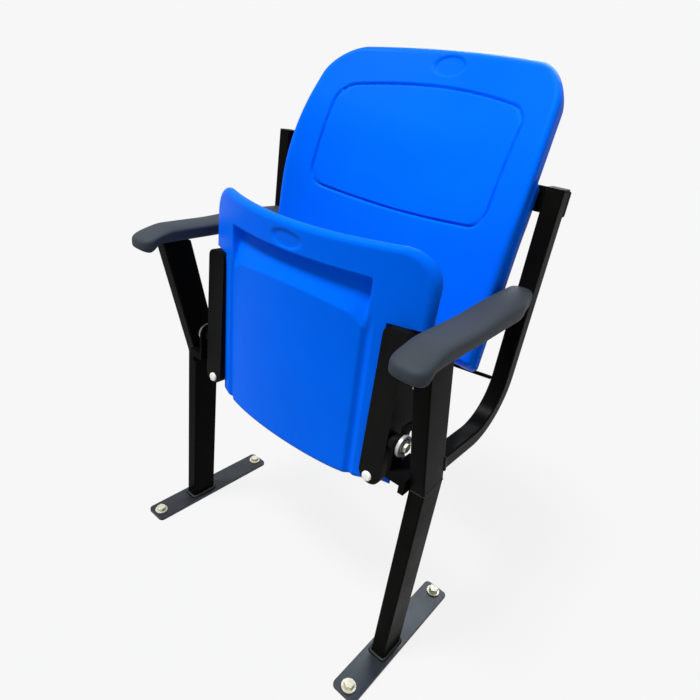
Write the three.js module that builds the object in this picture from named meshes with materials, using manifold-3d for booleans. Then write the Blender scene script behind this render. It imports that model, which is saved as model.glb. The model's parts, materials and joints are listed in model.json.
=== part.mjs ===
// A tip-up stadium seat on two welded steel side frames that stand on floor plates.
// Millimetres, +Z up. X runs from the left frame to the right one, the sitter faces -Y.
// The origin is the bottom centre of the whole seat. It is drawn with the seat tipped up.

import * as THREE from 'three';
import { mergeVertices } from 'three/addons/utils/BufferGeometryUtils.js';
import Module from 'manifold-3d';

const wasm = await Module();
wasm.setup();

// The two lengths that the rest is set out from: the seat's half width and its pivot's height
const seatHalfWidth = 212;
const pivotHeight = 406;

// Driving dimensions of the side frames
const frameReach = 43;
const framePitch = 2 * (seatHalfWidth + frameReach);
const tubeWidth = 25;
const legDepth = 50;
const legWall = 2;
const tubeCorner = 3;
const kneeDrop = 56;
const kneeHeight = pivotHeight - kneeDrop;
const strutLean = THREE.MathUtils.degToRad(16.1);
const backTubeDepth = 25;
const backTubeWall = 1.5;
const backTubeCorner = 2;
const backTubeRise = 37;
const backTubeHeight = kneeHeight + backTubeRise;
const backBendRadius = 80;
const uprightDistance = 181;
const uprightRise = 361;
const uprightTop = backTubeHeight + uprightRise;

// Floor plates and their bolts
const plateWidth = 45;
const plateThickness = 6;
const plateCorner = 8;
const plateSetback = 28;
const boltSpacing = 250;
const boltEndDistance = 15;
const plateLength = boltSpacing + 2 * boltEndDistance;
const boltShankRadius = 5;
const boltHeadRadius = 8.5;
const boltHeadHeight = 6.5;
const boltHoleClearance = 0.5;
const boltWasherRadius = 12;
const boltWasherThickness = 2.5;
const footWeldLeg = 5;
const footWeldHeight = 2;

// Backrest, measured along its curved side edge from its lower edge up
const backOverlap = 14.5;
const backTopTaper = 20;
const backLowerTaper = 6;
const backWidestPlace = 239;
const backHalfWidth = seatHalfWidth + backOverlap;
const backEdgeLength = 451;
const backBaseDistance = 117;
const backStraightLength = 184;
const backBendLength = 191;
const backLowerLean = THREE.MathUtils.degToRad(5);
const backUpperLean = THREE.MathUtils.degToRad(27);
const backLowHollow = 25;
const backHighHollow = 53;
const backHollowReach = 290;
const backCrown = 46;
const backFoot = 18;
const backTopCorner = 53;
const backBottomCorner = 10;
const backThickness = 20;
const backRim = 14;
const backFootSlant = 22;
const backRearRim = 4;
const backEdgeDepth = 12;
const backFlangeDepth = 14;
const backFlangeWidth = 27;
const backFlangeLength = 300;
const backFlangeBlend = 10;

// Seat, standing tipped up
const seatDrop = 103;
const seatBottom = pivotHeight - seatDrop;
const seatLength = 371;
const seatTopDip = 8;
const seatSideLift = 9;
const seatTopCorner = 50;
const seatRearFace = 12;
const seatLowHollow = 32;
const seatHighHollow = 54;
const seatThickness = 20;
const seatLip = 4.5;
const seatRim = 10;
const bandHeight = 50;
const pocketTop = seatBottom + seatLength - bandHeight;
const pocketCentreHeight = 46;
const pocketSideHeight = 79;
const pocketSetIn = 75;
const pocketHalfWidth = seatHalfWidth - pocketSetIn;
const pocketDepth = 14;
const pocketBlend = 6;

// Hinge covers on the sides of the seat, and the pivots
const pivotSetback = -20;
const coverSetIn = 51;
const coverInnerFace = seatHalfWidth - coverSetIn;
const coverWidth = 38;
const coverFront = -33;
const coverDrop = 81;
const coverBottom = pivotHeight - coverDrop;
const coverLength = 245;
const coverCorner = 12;
const coverLowerCorner = 19;
const coverWall = 3;
const coverEarReach = 50;
const coverEarRise = 84;
const coverEarDrop = 36;
const pivotRadius = 4;
const pivotHeadRadius = 7.5;
const pivotHeadHeight = 5.5;
const pivotWasherRadius = 16.5;
const pivotWasherThickness = 5;
const pivotWasherRim = 4;
const pivotWasherRecess = 2.5;
const pivotNutHeight = 6.5;
const bushWall = 3;
const bushCollarRadius = 12;
const bushCollarLength = 10;
const springWire = 2.2;
const springRadius = 7;
const springTurns = 4;
const springStepsPerTurn = 12;
const springTail = 14;
const lugThickness = 5;
const lugRadius = 18;
const lugStripFront = -38;
const lugStripBack = -10;
const lugDrop = 49;
const lugBottom = pivotHeight - lugDrop;
const lugEarReach = 18;
const lugEarHeight = 13;
const stubTopDrop = 36;
const stubTop = pivotHeight - stubTopDrop;
const stubStep = 9.5;
const stubDrop = 12;
const stubBack = 20;
const stopPinRadius = 4;
const stopPinDrop = 28;
const stopLobeRadius = 9;
const seatSwing = THREE.MathUtils.degToRad(82);
const capRadius = 8;
const capHeight = 3.5;
const capInset = 17;
const capRise = 12;
const capPostRadius = 5;
const coverScrewRadius = 2.5;
const coverScrewHeadRadius = 4.5;
const coverScrewHeadHeight = 2.5;
const coverScrewLength = 22;
const coverScrewRise = 60;
const capScrewBite = 3;

// Armrests
const armWidth = 50;
const armThickness = 25;
const armCrown = 1.5;
const armNose = 129;
const armRise = 194.5;
const armTopAtLeg = pivotHeight + armRise;
const armSlope = THREE.MathUtils.degToRad(2.2);
const armRearRise = 6;
const armRearRiseEnd = 110;
const armNoseDrop = 11.5;
const armNoseLength = 58;
const armNoseRound = 28;
const armNoseSquareness = 2.8;
const armNoseBulb = 4.5;
const armHang = 13;
const armHangStart = 10.5;
const armHangLength = 30;
const armRearTaper = 12;
const armRearTaperLength = 60;
const armPlateWidth = 22;
const armPlateThickness = 4;
const armPlateOverhang = 16;
const armScrewRadius = 2.4;
const armScrewHeadRadius = 5;
const armScrewHeadHeight = 3;
const armScrewBite = 12;

// Backrest fixings
const bracketThickness = 6;
const bracketHeight = 35;
const bracketReach = 40;
const bracketInnerEdge = backHalfWidth - bracketReach;
const backBoltRadius = 4;
const backBoltHeadRadius = 6.5;
const backBoltHeadHeight = 5;
const backBoltWasherRadius = 9;
const backBoltWasherThickness = 1.6;
const backBoltInset = 19;
const backBoltBite = 24;
const rodRadius = 3;
const rodRise = 74;
const rodHeight = backTubeHeight + rodRise;
const rodDistance = 169;
const rodDip = 13;
const clipWidth = 22;
const clipWall = 2.5;
const clipPlace = 95;
const clipTail = 36;
const clipReach = 13;
const clipScrewRise = 26;
const clipScrewRadius = 2.2;
const clipScrewHeadRadius = 4.5;
const clipScrewHeadHeight = 2.5;
const clipScrewBite = 14;
const tubeCapThickness = 2.5;
const tubeCapPlug = 12;

// One clearance between pieces that touch, one overrun for every cut
const gap = 0.3;
const overrun = 40;
const roundSides = 18;
const smallSides = 12;

const halfPitch = framePitch / 2;
const halfTube = tubeWidth / 2;
const halfLeg = legDepth / 2;
const halfBackTube = backTubeDepth / 2;
const mitreRise = legDepth * Math.tan(strutLean / 2);

// Moves between three.js geometry and solids that can be cut and joined
function solidOf(geometry) {
  const plain = geometry.clone();
  plain.deleteAttribute('normal');
  plain.deleteAttribute('uv');
  const merged = mergeVertices(plain, gap / 1000);
  return new wasm.Manifold(new wasm.Mesh({
    numProp: 3,
    vertProperties: new Float32Array(merged.attributes.position.array),
    triVerts: new Uint32Array(merged.index.array),
  }));
}

function geometryOf(solid) {
  const mesh = solid.getMesh();
  const geometry = new THREE.BufferGeometry();
  geometry.setAttribute('position', new THREE.BufferAttribute(mesh.vertProperties, 3));
  geometry.setIndex(new THREE.BufferAttribute(mesh.triVerts, 1));
  return geometry;
}

function cut(geometry, ...tools) {
  return geometryOf(tools.reduce((solid, tool) => solid.subtract(solidOf(tool)), solidOf(geometry)));
}

function join(geometry, ...others) {
  return geometryOf(others.reduce((solid, other) => solid.add(solidOf(other)), solidOf(geometry)));
}

// Outlines and plain solids
function roundedRectangle(width, height, radius, x = 0, y = 0) {
  const shape = new THREE.Shape();
  const right = x + width / 2;
  const top = y + height / 2;
  const left = x - width / 2;
  const bottom = y - height / 2;
  shape.moveTo(right, bottom + radius);
  shape.lineTo(right, top - radius);
  shape.absarc(right - radius, top - radius, radius, 0, Math.PI / 2);
  shape.lineTo(left + radius, top);
  shape.absarc(left + radius, top - radius, radius, Math.PI / 2, Math.PI);
  shape.lineTo(left, bottom + radius);
  shape.absarc(left + radius, bottom + radius, radius, Math.PI, 1.5 * Math.PI);
  shape.lineTo(right - radius, bottom);
  shape.absarc(right - radius, bottom + radius, radius, -Math.PI / 2, 0);
  return shape;
}

function polygon(points) {
  return new THREE.Shape(points.map(([x, y]) => new THREE.Vector2(x, y)));
}

function extrude(shape, depth, curveSegments = 4) {
  return new THREE.ExtrudeGeometry(shape, { depth, bevelEnabled: false, curveSegments });
}

// A shape drawn in the side view, with Y to the right and Z up, from x to x + thickness
function sidePlate(shape, x, thickness, curveSegments = 4) {
  const basis = new THREE.Matrix4().makeBasis(
    new THREE.Vector3(0, 1, 0),
    new THREE.Vector3(0, 0, 1),
    new THREE.Vector3(1, 0, 0),
  );
  return extrude(shape, thickness, curveSegments).applyMatrix4(basis).translate(x, 0, 0);
}

// A shape drawn in the front view, with X to the right and Z up, from y back by its depth
function frontPlate(shape, y, depth, curveSegments = 4) {
  return extrude(shape, depth, curveSegments).rotateX(Math.PI / 2).translate(0, y + depth, 0);
}

function block(x0, x1, y0, y1, z0, z1) {
  return new THREE.BoxGeometry(x1 - x0, y1 - y0, z1 - z0)
    .translate((x0 + x1) / 2, (y0 + y1) / 2, (z0 + z1) / 2);
}

// Round bars along each axis, from one end to the other
function barX(radius, x0, x1, y, z, sides = roundSides) {
  return new THREE.CylinderGeometry(radius, radius, x1 - x0, sides)
    .rotateZ(-Math.PI / 2).translate((x0 + x1) / 2, y, z);
}

function barY(radius, y0, y1, x, z, sides = roundSides) {
  return new THREE.CylinderGeometry(radius, radius, y1 - y0, sides).translate(x, (y0 + y1) / 2, z);
}

function barZ(radius, z0, z1, x, y, sides = roundSides) {
  return new THREE.CylinderGeometry(radius, radius, z1 - z0, sides)
    .rotateX(Math.PI / 2).translate(x, y, (z0 + z1) / 2);
}

// The mirror image across the plane x = 0, with its faces turned out again
function mirrored(geometry) {
  const copy = geometry.index ? geometry.clone() : mergeVertices(geometry.clone());
  const { position } = copy.attributes;
  for (let i = 0; i < position.count; i += 1) position.setX(i, -position.getX(i));
  const { array } = copy.index;
  for (let i = 0; i < array.length; i += 3) [array[i], array[i + 1]] = [array[i + 1], array[i]];
  return copy;
}

// Closes a front and a back grid of points, row by row, into one body
function closedSlab(columnCount, rowCount, frontAt, backAt) {
  const positions = [];
  const indices = [];
  const frontId = (i, j) => j * columnCount + i;
  const backId = (i, j) => columnCount * rowCount + j * columnCount + i;
  for (const at of [frontAt, backAt]) {
    for (let j = 0; j < rowCount; j += 1) {
      for (let i = 0; i < columnCount; i += 1) positions.push(...at(i, j));
    }
  }
  const quad = (a, b, c, d) => indices.push(a, b, c, a, c, d);
  for (let j = 0; j < rowCount - 1; j += 1) {
    for (let i = 0; i < columnCount - 1; i += 1) {
      quad(frontId(i, j), frontId(i + 1, j), frontId(i + 1, j + 1), frontId(i, j + 1));
      quad(backId(i, j), backId(i, j + 1), backId(i + 1, j + 1), backId(i + 1, j));
    }
  }
  const lastColumn = columnCount - 1;
  const lastRow = rowCount - 1;
  for (let j = 0; j < lastRow; j += 1) {
    quad(frontId(0, j), frontId(0, j + 1), backId(0, j + 1), backId(0, j));
    quad(frontId(lastColumn, j + 1), frontId(lastColumn, j), backId(lastColumn, j), backId(lastColumn, j + 1));
  }
  for (let i = 0; i < lastColumn; i += 1) {
    quad(frontId(i + 1, 0), frontId(i, 0), backId(i, 0), backId(i + 1, 0));
    quad(frontId(i, lastRow), frontId(i + 1, lastRow), backId(i + 1, lastRow), backId(i, lastRow));
  }
  const geometry = new THREE.BufferGeometry();
  geometry.setAttribute('position', new THREE.Float32BufferAttribute(positions, 3));
  geometry.setIndex(indices);
  return geometry;
}

// How full a rounded rim is at a distance in from its edge, from 0 to 1
function rimFill(distance, rim, squareness = 2) {
  const inward = THREE.MathUtils.clamp(distance / rim, 0, 1);
  return (1 - (1 - inward) ** squareness) ** (1 / squareness);
}

// Colours, in the order in which the pieces use them
const finishes = {
  frame: { color: 0x17181a, roughness: 0.35, metalness: 0.3 },
  shell: { color: 0x0a62ee, roughness: 0.45, metalness: 0 },
  arm: { color: 0x3a3f45, roughness: 0.7, metalness: 0 },
  cover: { color: 0x1b1c1a, roughness: 0.5, metalness: 0.1 },
  zinc: { color: 0xc9c4ae, roughness: 0.3, metalness: 0.9 },
  nylon: { color: 0xa5a3a6, roughness: 0.5, metalness: 0 },
  cap: { color: 0xf4f4f2, roughness: 0.4, metalness: 0 },
  spring: { color: 0x55585c, roughness: 0.35, metalness: 0.9 },
};

function piece(name, geometry, finish) {
  const flat = geometry.index ? geometry.toNonIndexed() : geometry.clone();
  flat.computeVertexNormals();
  const mesh = new THREE.Mesh(flat, new THREE.MeshStandardMaterial(finishes[finish]));
  mesh.name = name;
  return mesh;
}

// Floor plate with its two bolt holes, lying on the floor
function floorPlate() {
  const shape = roundedRectangle(plateWidth, plateLength, plateCorner);
  for (const end of [-1, 1]) {
    const hole = new THREE.Path();
    hole.absarc(0, end * boltSpacing / 2, boltShankRadius + boltHoleClearance, 0, 2 * Math.PI, true);
    shape.holes.push(hole);
  }
  return extrude(shape, plateThickness, 5).translate(0, plateSetback, 0);
}

function boltPlaces() {
  return [-1, 1].map((end) => plateSetback + end * boltSpacing / 2);
}

function floorWasher(y) {
  const shape = new THREE.Shape();
  shape.absarc(0, 0, boltWasherRadius, 0, 2 * Math.PI);
  const hole = new THREE.Path();
  hole.absarc(0, 0, boltShankRadius + boltHoleClearance, 0, 2 * Math.PI, true);
  shape.holes.push(hole);
  return extrude(shape, boltWasherThickness, 8).translate(0, y, plateThickness + gap);
}

function floorBolt(y) {
  const seatOfHead = plateThickness + boltWasherThickness + 2 * gap;
  const shank = barZ(boltShankRadius, 0, seatOfHead + boltHeadHeight / 2, 0, y, smallSides);
  const head = barZ(boltHeadRadius, seatOfHead, seatOfHead + boltHeadHeight, 0, y, 6);
  return join(head, shank);
}

// The weld round the leg's foot: a closed profile of [distance out, height] carried round the leg
function footWeld() {
  const inside = -legWall / 2;
  const profile = [
    [inside, gap],
    [footWeldLeg, gap],
    [footWeldLeg - footWeldHeight, footWeldHeight],
    [inside, footWeldLeg],
  ];
  const loops = profile.map(([out]) => (
    roundedRectangle(tubeWidth + 2 * out, legDepth + 2 * out, tubeCorner + out).getPoints(2).slice(0, -1)
  ));
  const count = loops[0].length;
  const positions = [];
  const indices = [];
  loops.forEach((loop, row) => {
    loop.forEach(({ x, y }) => positions.push(x, y, plateThickness + profile[row][1]));
  });
  for (let row = 0; row < profile.length; row += 1) {
    const a = row * count;
    const b = ((row + 1) % profile.length) * count;
    for (let k = 0; k < count; k += 1) {
      const next = (k + 1) % count;
      indices.push(a + k, a + next, b + next, a + k, b + next, b + k);
    }
  }
  const geometry = new THREE.BufferGeometry();
  geometry.setAttribute('position', new THREE.Float32BufferAttribute(positions, 3));
  geometry.setIndex(indices);
  return geometry;
}

// Rectangular steel tube standing on z = 0
function uprightTube(width, depth, wall, corner, length) {
  const shape = roundedRectangle(width, depth, corner);
  shape.holes.push(roundedRectangle(width - 2 * wall, depth - 2 * wall, corner - wall / 2));
  return extrude(shape, length, 2);
}

// A large block whose lower face goes through a point of the side view, tilted about X
function blockAbove(y, z, tilt) {
  const size = kneeHeight + uprightTop;
  return new THREE.BoxGeometry(size, size, size).translate(0, 0, size / 2).rotateX(tilt).translate(0, y, z);
}

function legTube() {
  const foot = plateThickness + gap;
  const tube = uprightTube(tubeWidth, legDepth, legWall, tubeCorner, kneeHeight + mitreRise + overrun);
  return join(cut(tube.translate(0, 0, foot), blockAbove(-halfLeg, kneeHeight, strutLean / 2)), footWeld());
}

// Side view lines of the leaning strut, from its front and back knee corners
const kneeBackHeight = kneeHeight + mitreRise;
function strutBackAt(z) {
  return halfLeg - (z - kneeBackHeight) * Math.tan(strutLean);
}

function armUndersideAt(y) {
  return armTopAtLeg - armThickness + y * Math.tan(armSlope);
}

function armStrut() {
  const plateUnderside = armPlateThickness + gap;
  const y = strutBackAt(armTopAtLeg);
  const length = (armTopAtLeg - kneeHeight) / Math.cos(strutLean) + 2 * overrun;
  const tube = uprightTube(tubeWidth, legDepth, legWall, tubeCorner, length)
    .translate(0, halfLeg, -overrun)
    .rotateX(strutLean)
    .translate(0, -halfLeg, kneeHeight);
  const below = blockAbove(0, 0, 0).rotateX(Math.PI + strutLean / 2).translate(0, -halfLeg, kneeHeight + gap);
  const above = blockAbove(y, armUndersideAt(y) - plateUnderside, armSlope);
  return cut(tube, below, above);
}

// Outline of the bent back tube at a distance to each side of its centre line
function backTubeOutline(halfDepth, startY, topZ) {
  const centreY = uprightDistance - backBendRadius;
  const centreZ = backTubeHeight + backBendRadius;
  const shape = new THREE.Shape();
  shape.moveTo(startY, backTubeHeight - halfDepth);
  shape.lineTo(centreY, backTubeHeight - halfDepth);
  shape.absarc(centreY, centreZ, backBendRadius + halfDepth, -Math.PI / 2, 0);
  shape.lineTo(uprightDistance + halfDepth, topZ);
  shape.lineTo(uprightDistance - halfDepth, topZ);
  shape.lineTo(uprightDistance - halfDepth, centreZ);
  shape.absarc(centreY, centreZ, backBendRadius - halfDepth, 0, -Math.PI / 2, true);
  shape.lineTo(startY, backTubeHeight + halfDepth);
  shape.closePath();
  return shape;
}

function backTube() {
  const bevel = backTubeCorner;
  const outline = backTubeOutline(halfBackTube, -overrun, uprightTop + overrun);
  const outer = new THREE.ExtrudeGeometry(outline, {
    depth: tubeWidth - 2 * bevel,
    bevelThickness: bevel,
    bevelSize: bevel,
    bevelOffset: -bevel,
    bevelSegments: 1,
    curveSegments: 9,
  });
  const basis = new THREE.Matrix4().makeBasis(
    new THREE.Vector3(0, 1, 0),
    new THREE.Vector3(0, 0, 1),
    new THREE.Vector3(1, 0, 0),
  );
  outer.applyMatrix4(basis).translate(bevel - halfTube, 0, 0);
  const innerOutline = backTubeOutline(halfBackTube - backTubeWall, -2 * overrun, uprightTop + 2 * overrun);
  const inner = sidePlate(innerOutline, backTubeWall - halfTube, tubeWidth - 2 * backTubeWall, 9);
  const top = blockAbove(0, uprightTop, 0);
  const front = blockAbove(0, 0, 0)
    .rotateX(Math.PI / 2 + strutLean)
    .translate(0, strutBackAt(backTubeHeight) + gap, backTubeHeight);
  return cut(outer, inner, top, front);
}

// Plastic plug in the open top of the back tube
function tubeCap() {
  const plugWidth = tubeWidth - 2 * (backTubeWall + gap);
  const plugDepth = backTubeDepth - 2 * (backTubeWall + gap);
  const top = extrude(roundedRectangle(tubeWidth, backTubeDepth, tubeCorner), tubeCapThickness, 2);
  const plugOutline = roundedRectangle(plugWidth, plugDepth, tubeCorner / 2);
  const plug = extrude(plugOutline, tubeCapPlug + tubeCapThickness / 2, 1);
  return join(top, plug.translate(0, 0, -tubeCapPlug)).translate(0, uprightDistance, uprightTop + gap);
}

// Armrest, lofted from its nose back to the upright
const armRear = uprightDistance - halfBackTube - gap;
const armSectionShares = [0, 0.005, 0.015, 0.04, 0.075, 0.12, 0.2, 0.3, 0.6, 0.82, 0.9, 1];
const armSides = 16;
const armSquareness = 0.45;
const armNoseTipShare = 0.3;

function armSectionAt(share) {
  const y = -armNose + share * (armRear + armNose);
  const fromNose = y + armNose;
  const fill = Math.max(rimFill(fromNose, armNoseRound, armNoseSquareness), armNoseTipShare);
  const sink = 1 - THREE.MathUtils.smoothstep(fromNose, 0, armNoseLength);
  const hang = 1 - THREE.MathUtils.smoothstep(fromNose, armHangStart, armHangLength);
  const rise = armRearRise * THREE.MathUtils.smoothstep(y, 0, armRearRiseEnd);
  const top = armUndersideAt(y) + armThickness + rise - armNoseDrop * sink;
  const underside = armUndersideAt(y) - armHang * hang;
  const middle = (top + underside) / 2;
  const halfHeight = ((top - underside) / 2) * fill;
  const halfWidth = ((armWidth + armNoseBulb * hang) / 2) * fill;
  const taper = armRearTaper * THREE.MathUtils.smoothstep(y, armRear - armRearTaperLength, armRear);
  return { y, middle, halfHeight, halfWidth, taper, crown: armCrown * fill };
}

function armBody() {
  const sections = armSectionShares.map(armSectionAt);
  const positions = [];
  for (const { y, middle, halfHeight, halfWidth, taper, crown } of sections) {
    for (let k = 0; k < armSides; k += 1) {
      const angle = (2 * Math.PI * k) / armSides;
      const x = Math.sign(Math.cos(angle)) * Math.abs(Math.cos(angle)) ** armSquareness;
      const z = Math.sign(Math.sin(angle)) * Math.abs(Math.sin(angle)) ** armSquareness;
      const lowered = Math.max(0, z) * crown * x * x;
      positions.push(x * (halfWidth - (x > 0 ? taper : 0)), y, middle + z * halfHeight - lowered);
    }
  }
  const indices = [];
  for (let j = 0; j < sections.length - 1; j += 1) {
    for (let k = 0; k < armSides; k += 1) {
      const next = (k + 1) % armSides;
      const a = j * armSides;
      const b = a + armSides;
      indices.push(a + k, b + k, b + next, a + k, b + next, a + next);
    }
  }
  const last = (sections.length - 1) * armSides;
  for (let k = 1; k < armSides - 1; k += 1) {
    indices.push(0, k, k + 1);
    indices.push(last, last + k + 1, last + k);
  }
  const geometry = new THREE.BufferGeometry();
  geometry.setAttribute('position', new THREE.Float32BufferAttribute(positions, 3));
  geometry.setIndex(indices);
  return geometry;
}

// Steel strip that carries the armrest, from the strut's front back to the upright
const armPlateFront = strutBackAt(armTopAtLeg - armThickness) - legDepth - armPlateOverhang;
function armStrip(width, start, end, clearance) {
  const under = (y) => armUndersideAt(y);
  const shape = polygon([
    [start, under(start) - armPlateThickness / 2 - clearance],
    [end, under(end) - armPlateThickness / 2 - clearance],
    [end, under(end) + armPlateThickness / 2 + clearance],
    [start, under(start) + armPlateThickness / 2 + clearance],
  ]);
  return sidePlate(shape, -width / 2, width);
}

const armScrewY = (halfLeg + armRear) / 2;

function armPlate() {
  const z = armUndersideAt(armScrewY);
  const hole = barZ(armScrewRadius + gap, z - overrun, z + overrun, 0, armScrewY, smallSides);
  return cut(armStrip(armPlateWidth, armPlateFront, armRear, 0), hole);
}

function armScrew() {
  const y = armScrewY;
  const z = armUndersideAt(y) - armPlateThickness / 2 - armScrewHeadRadius * Math.tan(armSlope) - gap;
  const head = barZ(armScrewHeadRadius, z - armScrewHeadHeight, z, 0, y, smallSides);
  const tip = z + armPlateThickness + armScrewBite;
  const shank = barZ(armScrewRadius, z - armScrewHeadHeight / 2, tip, 0, y, smallSides);
  return join(head, shank);
}

function armrest() {
  const slot = armStrip(armPlateWidth + 2 * gap, armPlateFront - gap, armRear + overrun, gap);
  const underSlot = armStrip(armPlateWidth + 2 * gap, armPlateFront - gap, armRear + overrun, gap)
    .translate(0, 0, -armPlateThickness);
  const z = armUndersideAt(armScrewY);
  const holeTop = z + armPlateThickness + armScrewBite + gap;
  const hole = barZ(armScrewRadius + gap, z - overrun, holeTop, 0, armScrewY, smallSides);
  return cut(armBody(), slot, underSlot, hole);
}

// Pivot stack, measured out from the middle of the seat
const coverOuterFace = coverInnerFace + coverWidth;
const collarInner = coverOuterFace + gap;
const lugInner = collarInner + bushCollarLength + gap;
const washerInner = lugInner + lugThickness + gap;
const headInner = washerInner + pivotWasherThickness + gap;
const legInner = halfPitch - halfTube;
const coverOuterWallInner = coverOuterFace - coverWall;
const springInnerEnd = coverOuterWallInner - gap - (springTurns + 1) * (springWire + gap);
const nutInner = springInnerEnd - gap - pivotNutHeight;
const bushOuterRadius = pivotRadius + gap + bushWall;

// The stop pin stands behind the lug's strip at rest, and meets the lug's ear when the seat is down
const stopPinY = lugStripBack + gap + stopPinRadius;
const stopPinZ = pivotHeight - stopPinDrop;
const stopPinRise = (stopPinY - pivotSetback) * Math.sin(seatSwing) - stopPinDrop * Math.cos(seatSwing);
const earUnderside = pivotHeight + stopPinRise + stopPinRadius + gap;

function pivotBracket() {
  const strip = polygon([
    [lugStripFront, lugBottom],
    [lugStripBack, lugBottom],
    [lugStripBack, pivotHeight],
    [lugStripFront, pivotHeight],
  ]);
  const disc = barX(lugRadius, lugInner, lugInner + lugThickness, pivotSetback, pivotHeight);
  const ear = block(
    lugInner,
    lugInner + lugThickness,
    pivotSetback,
    pivotSetback + lugRadius + lugEarReach,
    earUnderside,
    earUnderside + lugEarHeight,
  );
  const stub = polygon([
    [lugInner, lugBottom],
    [legInner - stubStep, lugBottom],
    [legInner - stubStep, lugBottom - stubDrop],
    [legInner - gap, lugBottom - stubDrop],
    [legInner - gap, stubTop],
    [lugInner, stubTop],
  ]);
  const body = join(
    sidePlate(strip, lugInner, lugThickness),
    disc,
    ear,
    frontPlate(stub, lugStripFront, stubBack - lugStripFront),
  );
  const bore = barX(pivotRadius + gap, lugInner - overrun, headInner, pivotSetback, pivotHeight);
  return cut(body, bore).translate(-halfPitch, 0, 0);
}

function pivotBolt() {
  const head = barX(pivotHeadRadius, headInner, headInner + pivotHeadHeight, pivotSetback, pivotHeight, 6);
  const shank = barX(
    pivotRadius,
    nutInner - gap - pivotRadius / 2,
    headInner + pivotHeadHeight / 2,
    pivotSetback,
    pivotHeight,
  );
  return join(head, shank).translate(-halfPitch, 0, 0);
}

function ring(outer, inner, x0, x1, sides = roundSides) {
  const body = barX(outer, x0, x1, pivotSetback, pivotHeight, sides);
  return cut(body, barX(inner, x0 - overrun, x1 + overrun, pivotSetback, pivotHeight));
}

function pivotWasher() {
  const outer = washerInner + pivotWasherThickness;
  const dishRadius = pivotWasherRadius - pivotWasherRim;
  const dishBore = pivotHeadRadius + pivotWasherRim / 2;
  const dish = ring(dishRadius, dishBore, outer - pivotWasherRecess, outer + gap);
  return cut(ring(pivotWasherRadius, pivotRadius + gap, washerInner, outer), dish).translate(-halfPitch, 0, 0);
}

function pivotNut() {
  const ringOfNut = barX(pivotHeadRadius, nutInner, nutInner + pivotNutHeight, pivotSetback, pivotHeight, 6);
  const bore = barX(pivotRadius + gap, nutInner - overrun, nutInner + overrun, pivotSetback, pivotHeight);
  return cut(ringOfNut, bore).translate(-halfPitch, 0, 0);
}

// Height of the seat above its lower edge, and the faces of its shell there
function seatHollowAt(z) {
  return THREE.MathUtils.lerp(seatLowHollow, seatHighHollow, (z - seatBottom) / seatLength);
}

function seatRearAt(x, z) {
  return seatRearFace - seatHollowAt(z) * (1 - (x / seatHalfWidth) ** 2);
}

// The space that the seat's thin side lip takes up behind a hinge cover, with the clearance to it
function lipSpace() {
  const top = coverBottom + coverLength + overrun;
  const bottom = coverBottom - overrun;
  const columns = 7;
  const inner = coverInnerFace - overrun;
  const xAt = (i) => THREE.MathUtils.lerp(inner, coverOuterWallInner, i / (columns - 1));
  const zAt = (j) => (j ? top : bottom);
  return closedSlab(
    columns,
    2,
    (i, j) => [xAt(i), seatRearAt(xAt(i), zAt(j)) - seatLip - lipChord - gap, zAt(j)],
    (i, j) => [xAt(i), seatRearFace + overrun, zAt(j)],
  );
}

// Hinge cover: a channel with closed ends, open at its back, where the seat's side lip closes it
const capX = coverInnerFace + capInset;
const capZ = coverBottom + capRise;

// Front view of the cover, drawn in by a wall or not at all, with rounder corners at its foot
function coverOutline(inset) {
  const left = coverInnerFace + inset;
  const right = coverOuterFace - inset;
  const bottom = coverBottom + inset;
  const top = coverBottom + coverLength - inset;
  const high = coverCorner - inset;
  const low = coverLowerCorner - gap - inset;
  const shape = new THREE.Shape();
  shape.moveTo(right, bottom + low);
  shape.lineTo(right, top - high);
  shape.absarc(right - high, top - high, high, 0, Math.PI / 2);
  shape.lineTo(left + high, top);
  shape.absarc(left + high, top - high, high, Math.PI / 2, Math.PI);
  shape.lineTo(left, bottom + low);
  shape.absarc(left + low, bottom + low, low, Math.PI, 1.5 * Math.PI);
  shape.lineTo(right - low, bottom);
  shape.absarc(right - low, bottom + low, low, -Math.PI / 2, 0);
  return shape;
}

// The cover's outer side runs on behind the seat as an ear round the pivot
function coverEar() {
  const rear = pivotSetback + coverEarReach;
  const top = pivotHeight + coverEarRise;
  const bottom = pivotHeight - coverEarDrop;
  const shape = new THREE.Shape();
  shape.moveTo(pivotSetback, bottom);
  shape.quadraticCurveTo(rear, bottom, rear, pivotHeight);
  shape.quadraticCurveTo(rear, (pivotHeight + top) / 2, 0, top);
  shape.lineTo(pivotSetback, top);
  return sidePlate(shape, coverOuterWallInner, coverWall);
}

function hingeCover() {
  const outer = frontPlate(coverOutline(0), coverFront, overrun, 3);
  const hollow = frontPlate(coverOutline(coverWall), coverFront + coverWall, 2 * overrun, 3);
  const lobe = barX(stopLobeRadius, coverOuterWallInner, coverOuterFace, stopPinY, stopPinZ);
  const post = barY(capPostRadius, coverFront + coverWall / 2, overrun, capX, capZ, smallSides);
  const wallStart = coverOuterWallInner - gap;
  const wallEnd = coverOuterFace + overrun;
  const bushBore = barX(bushOuterRadius + gap, wallStart, wallEnd, pivotSetback, pivotHeight);
  const pinBore = barX(stopPinRadius + gap, wallStart, wallEnd, stopPinY, stopPinZ);
  const capBore = barY(coverScrewRadius + gap, coverFront - overrun, 2 * overrun, capX, capZ, smallSides);
  const body = join(cut(outer, hollow), coverEar(), lobe, post);
  return cut(body, lipSpace(), bushBore, pinBore, capBore, coverScrewBore());
}

// A side screw goes through the cover's inner side into the middle of the seat's edge
const coverScrewZ = coverBottom + coverLength - coverScrewRise;
const coverScrewY = seatRearAt(coverInnerFace, coverScrewZ) - seatThickness / 2;

const screwHeadInner = coverInnerFace + coverWall + gap;
const screwTip = screwHeadInner - coverScrewLength;

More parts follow.
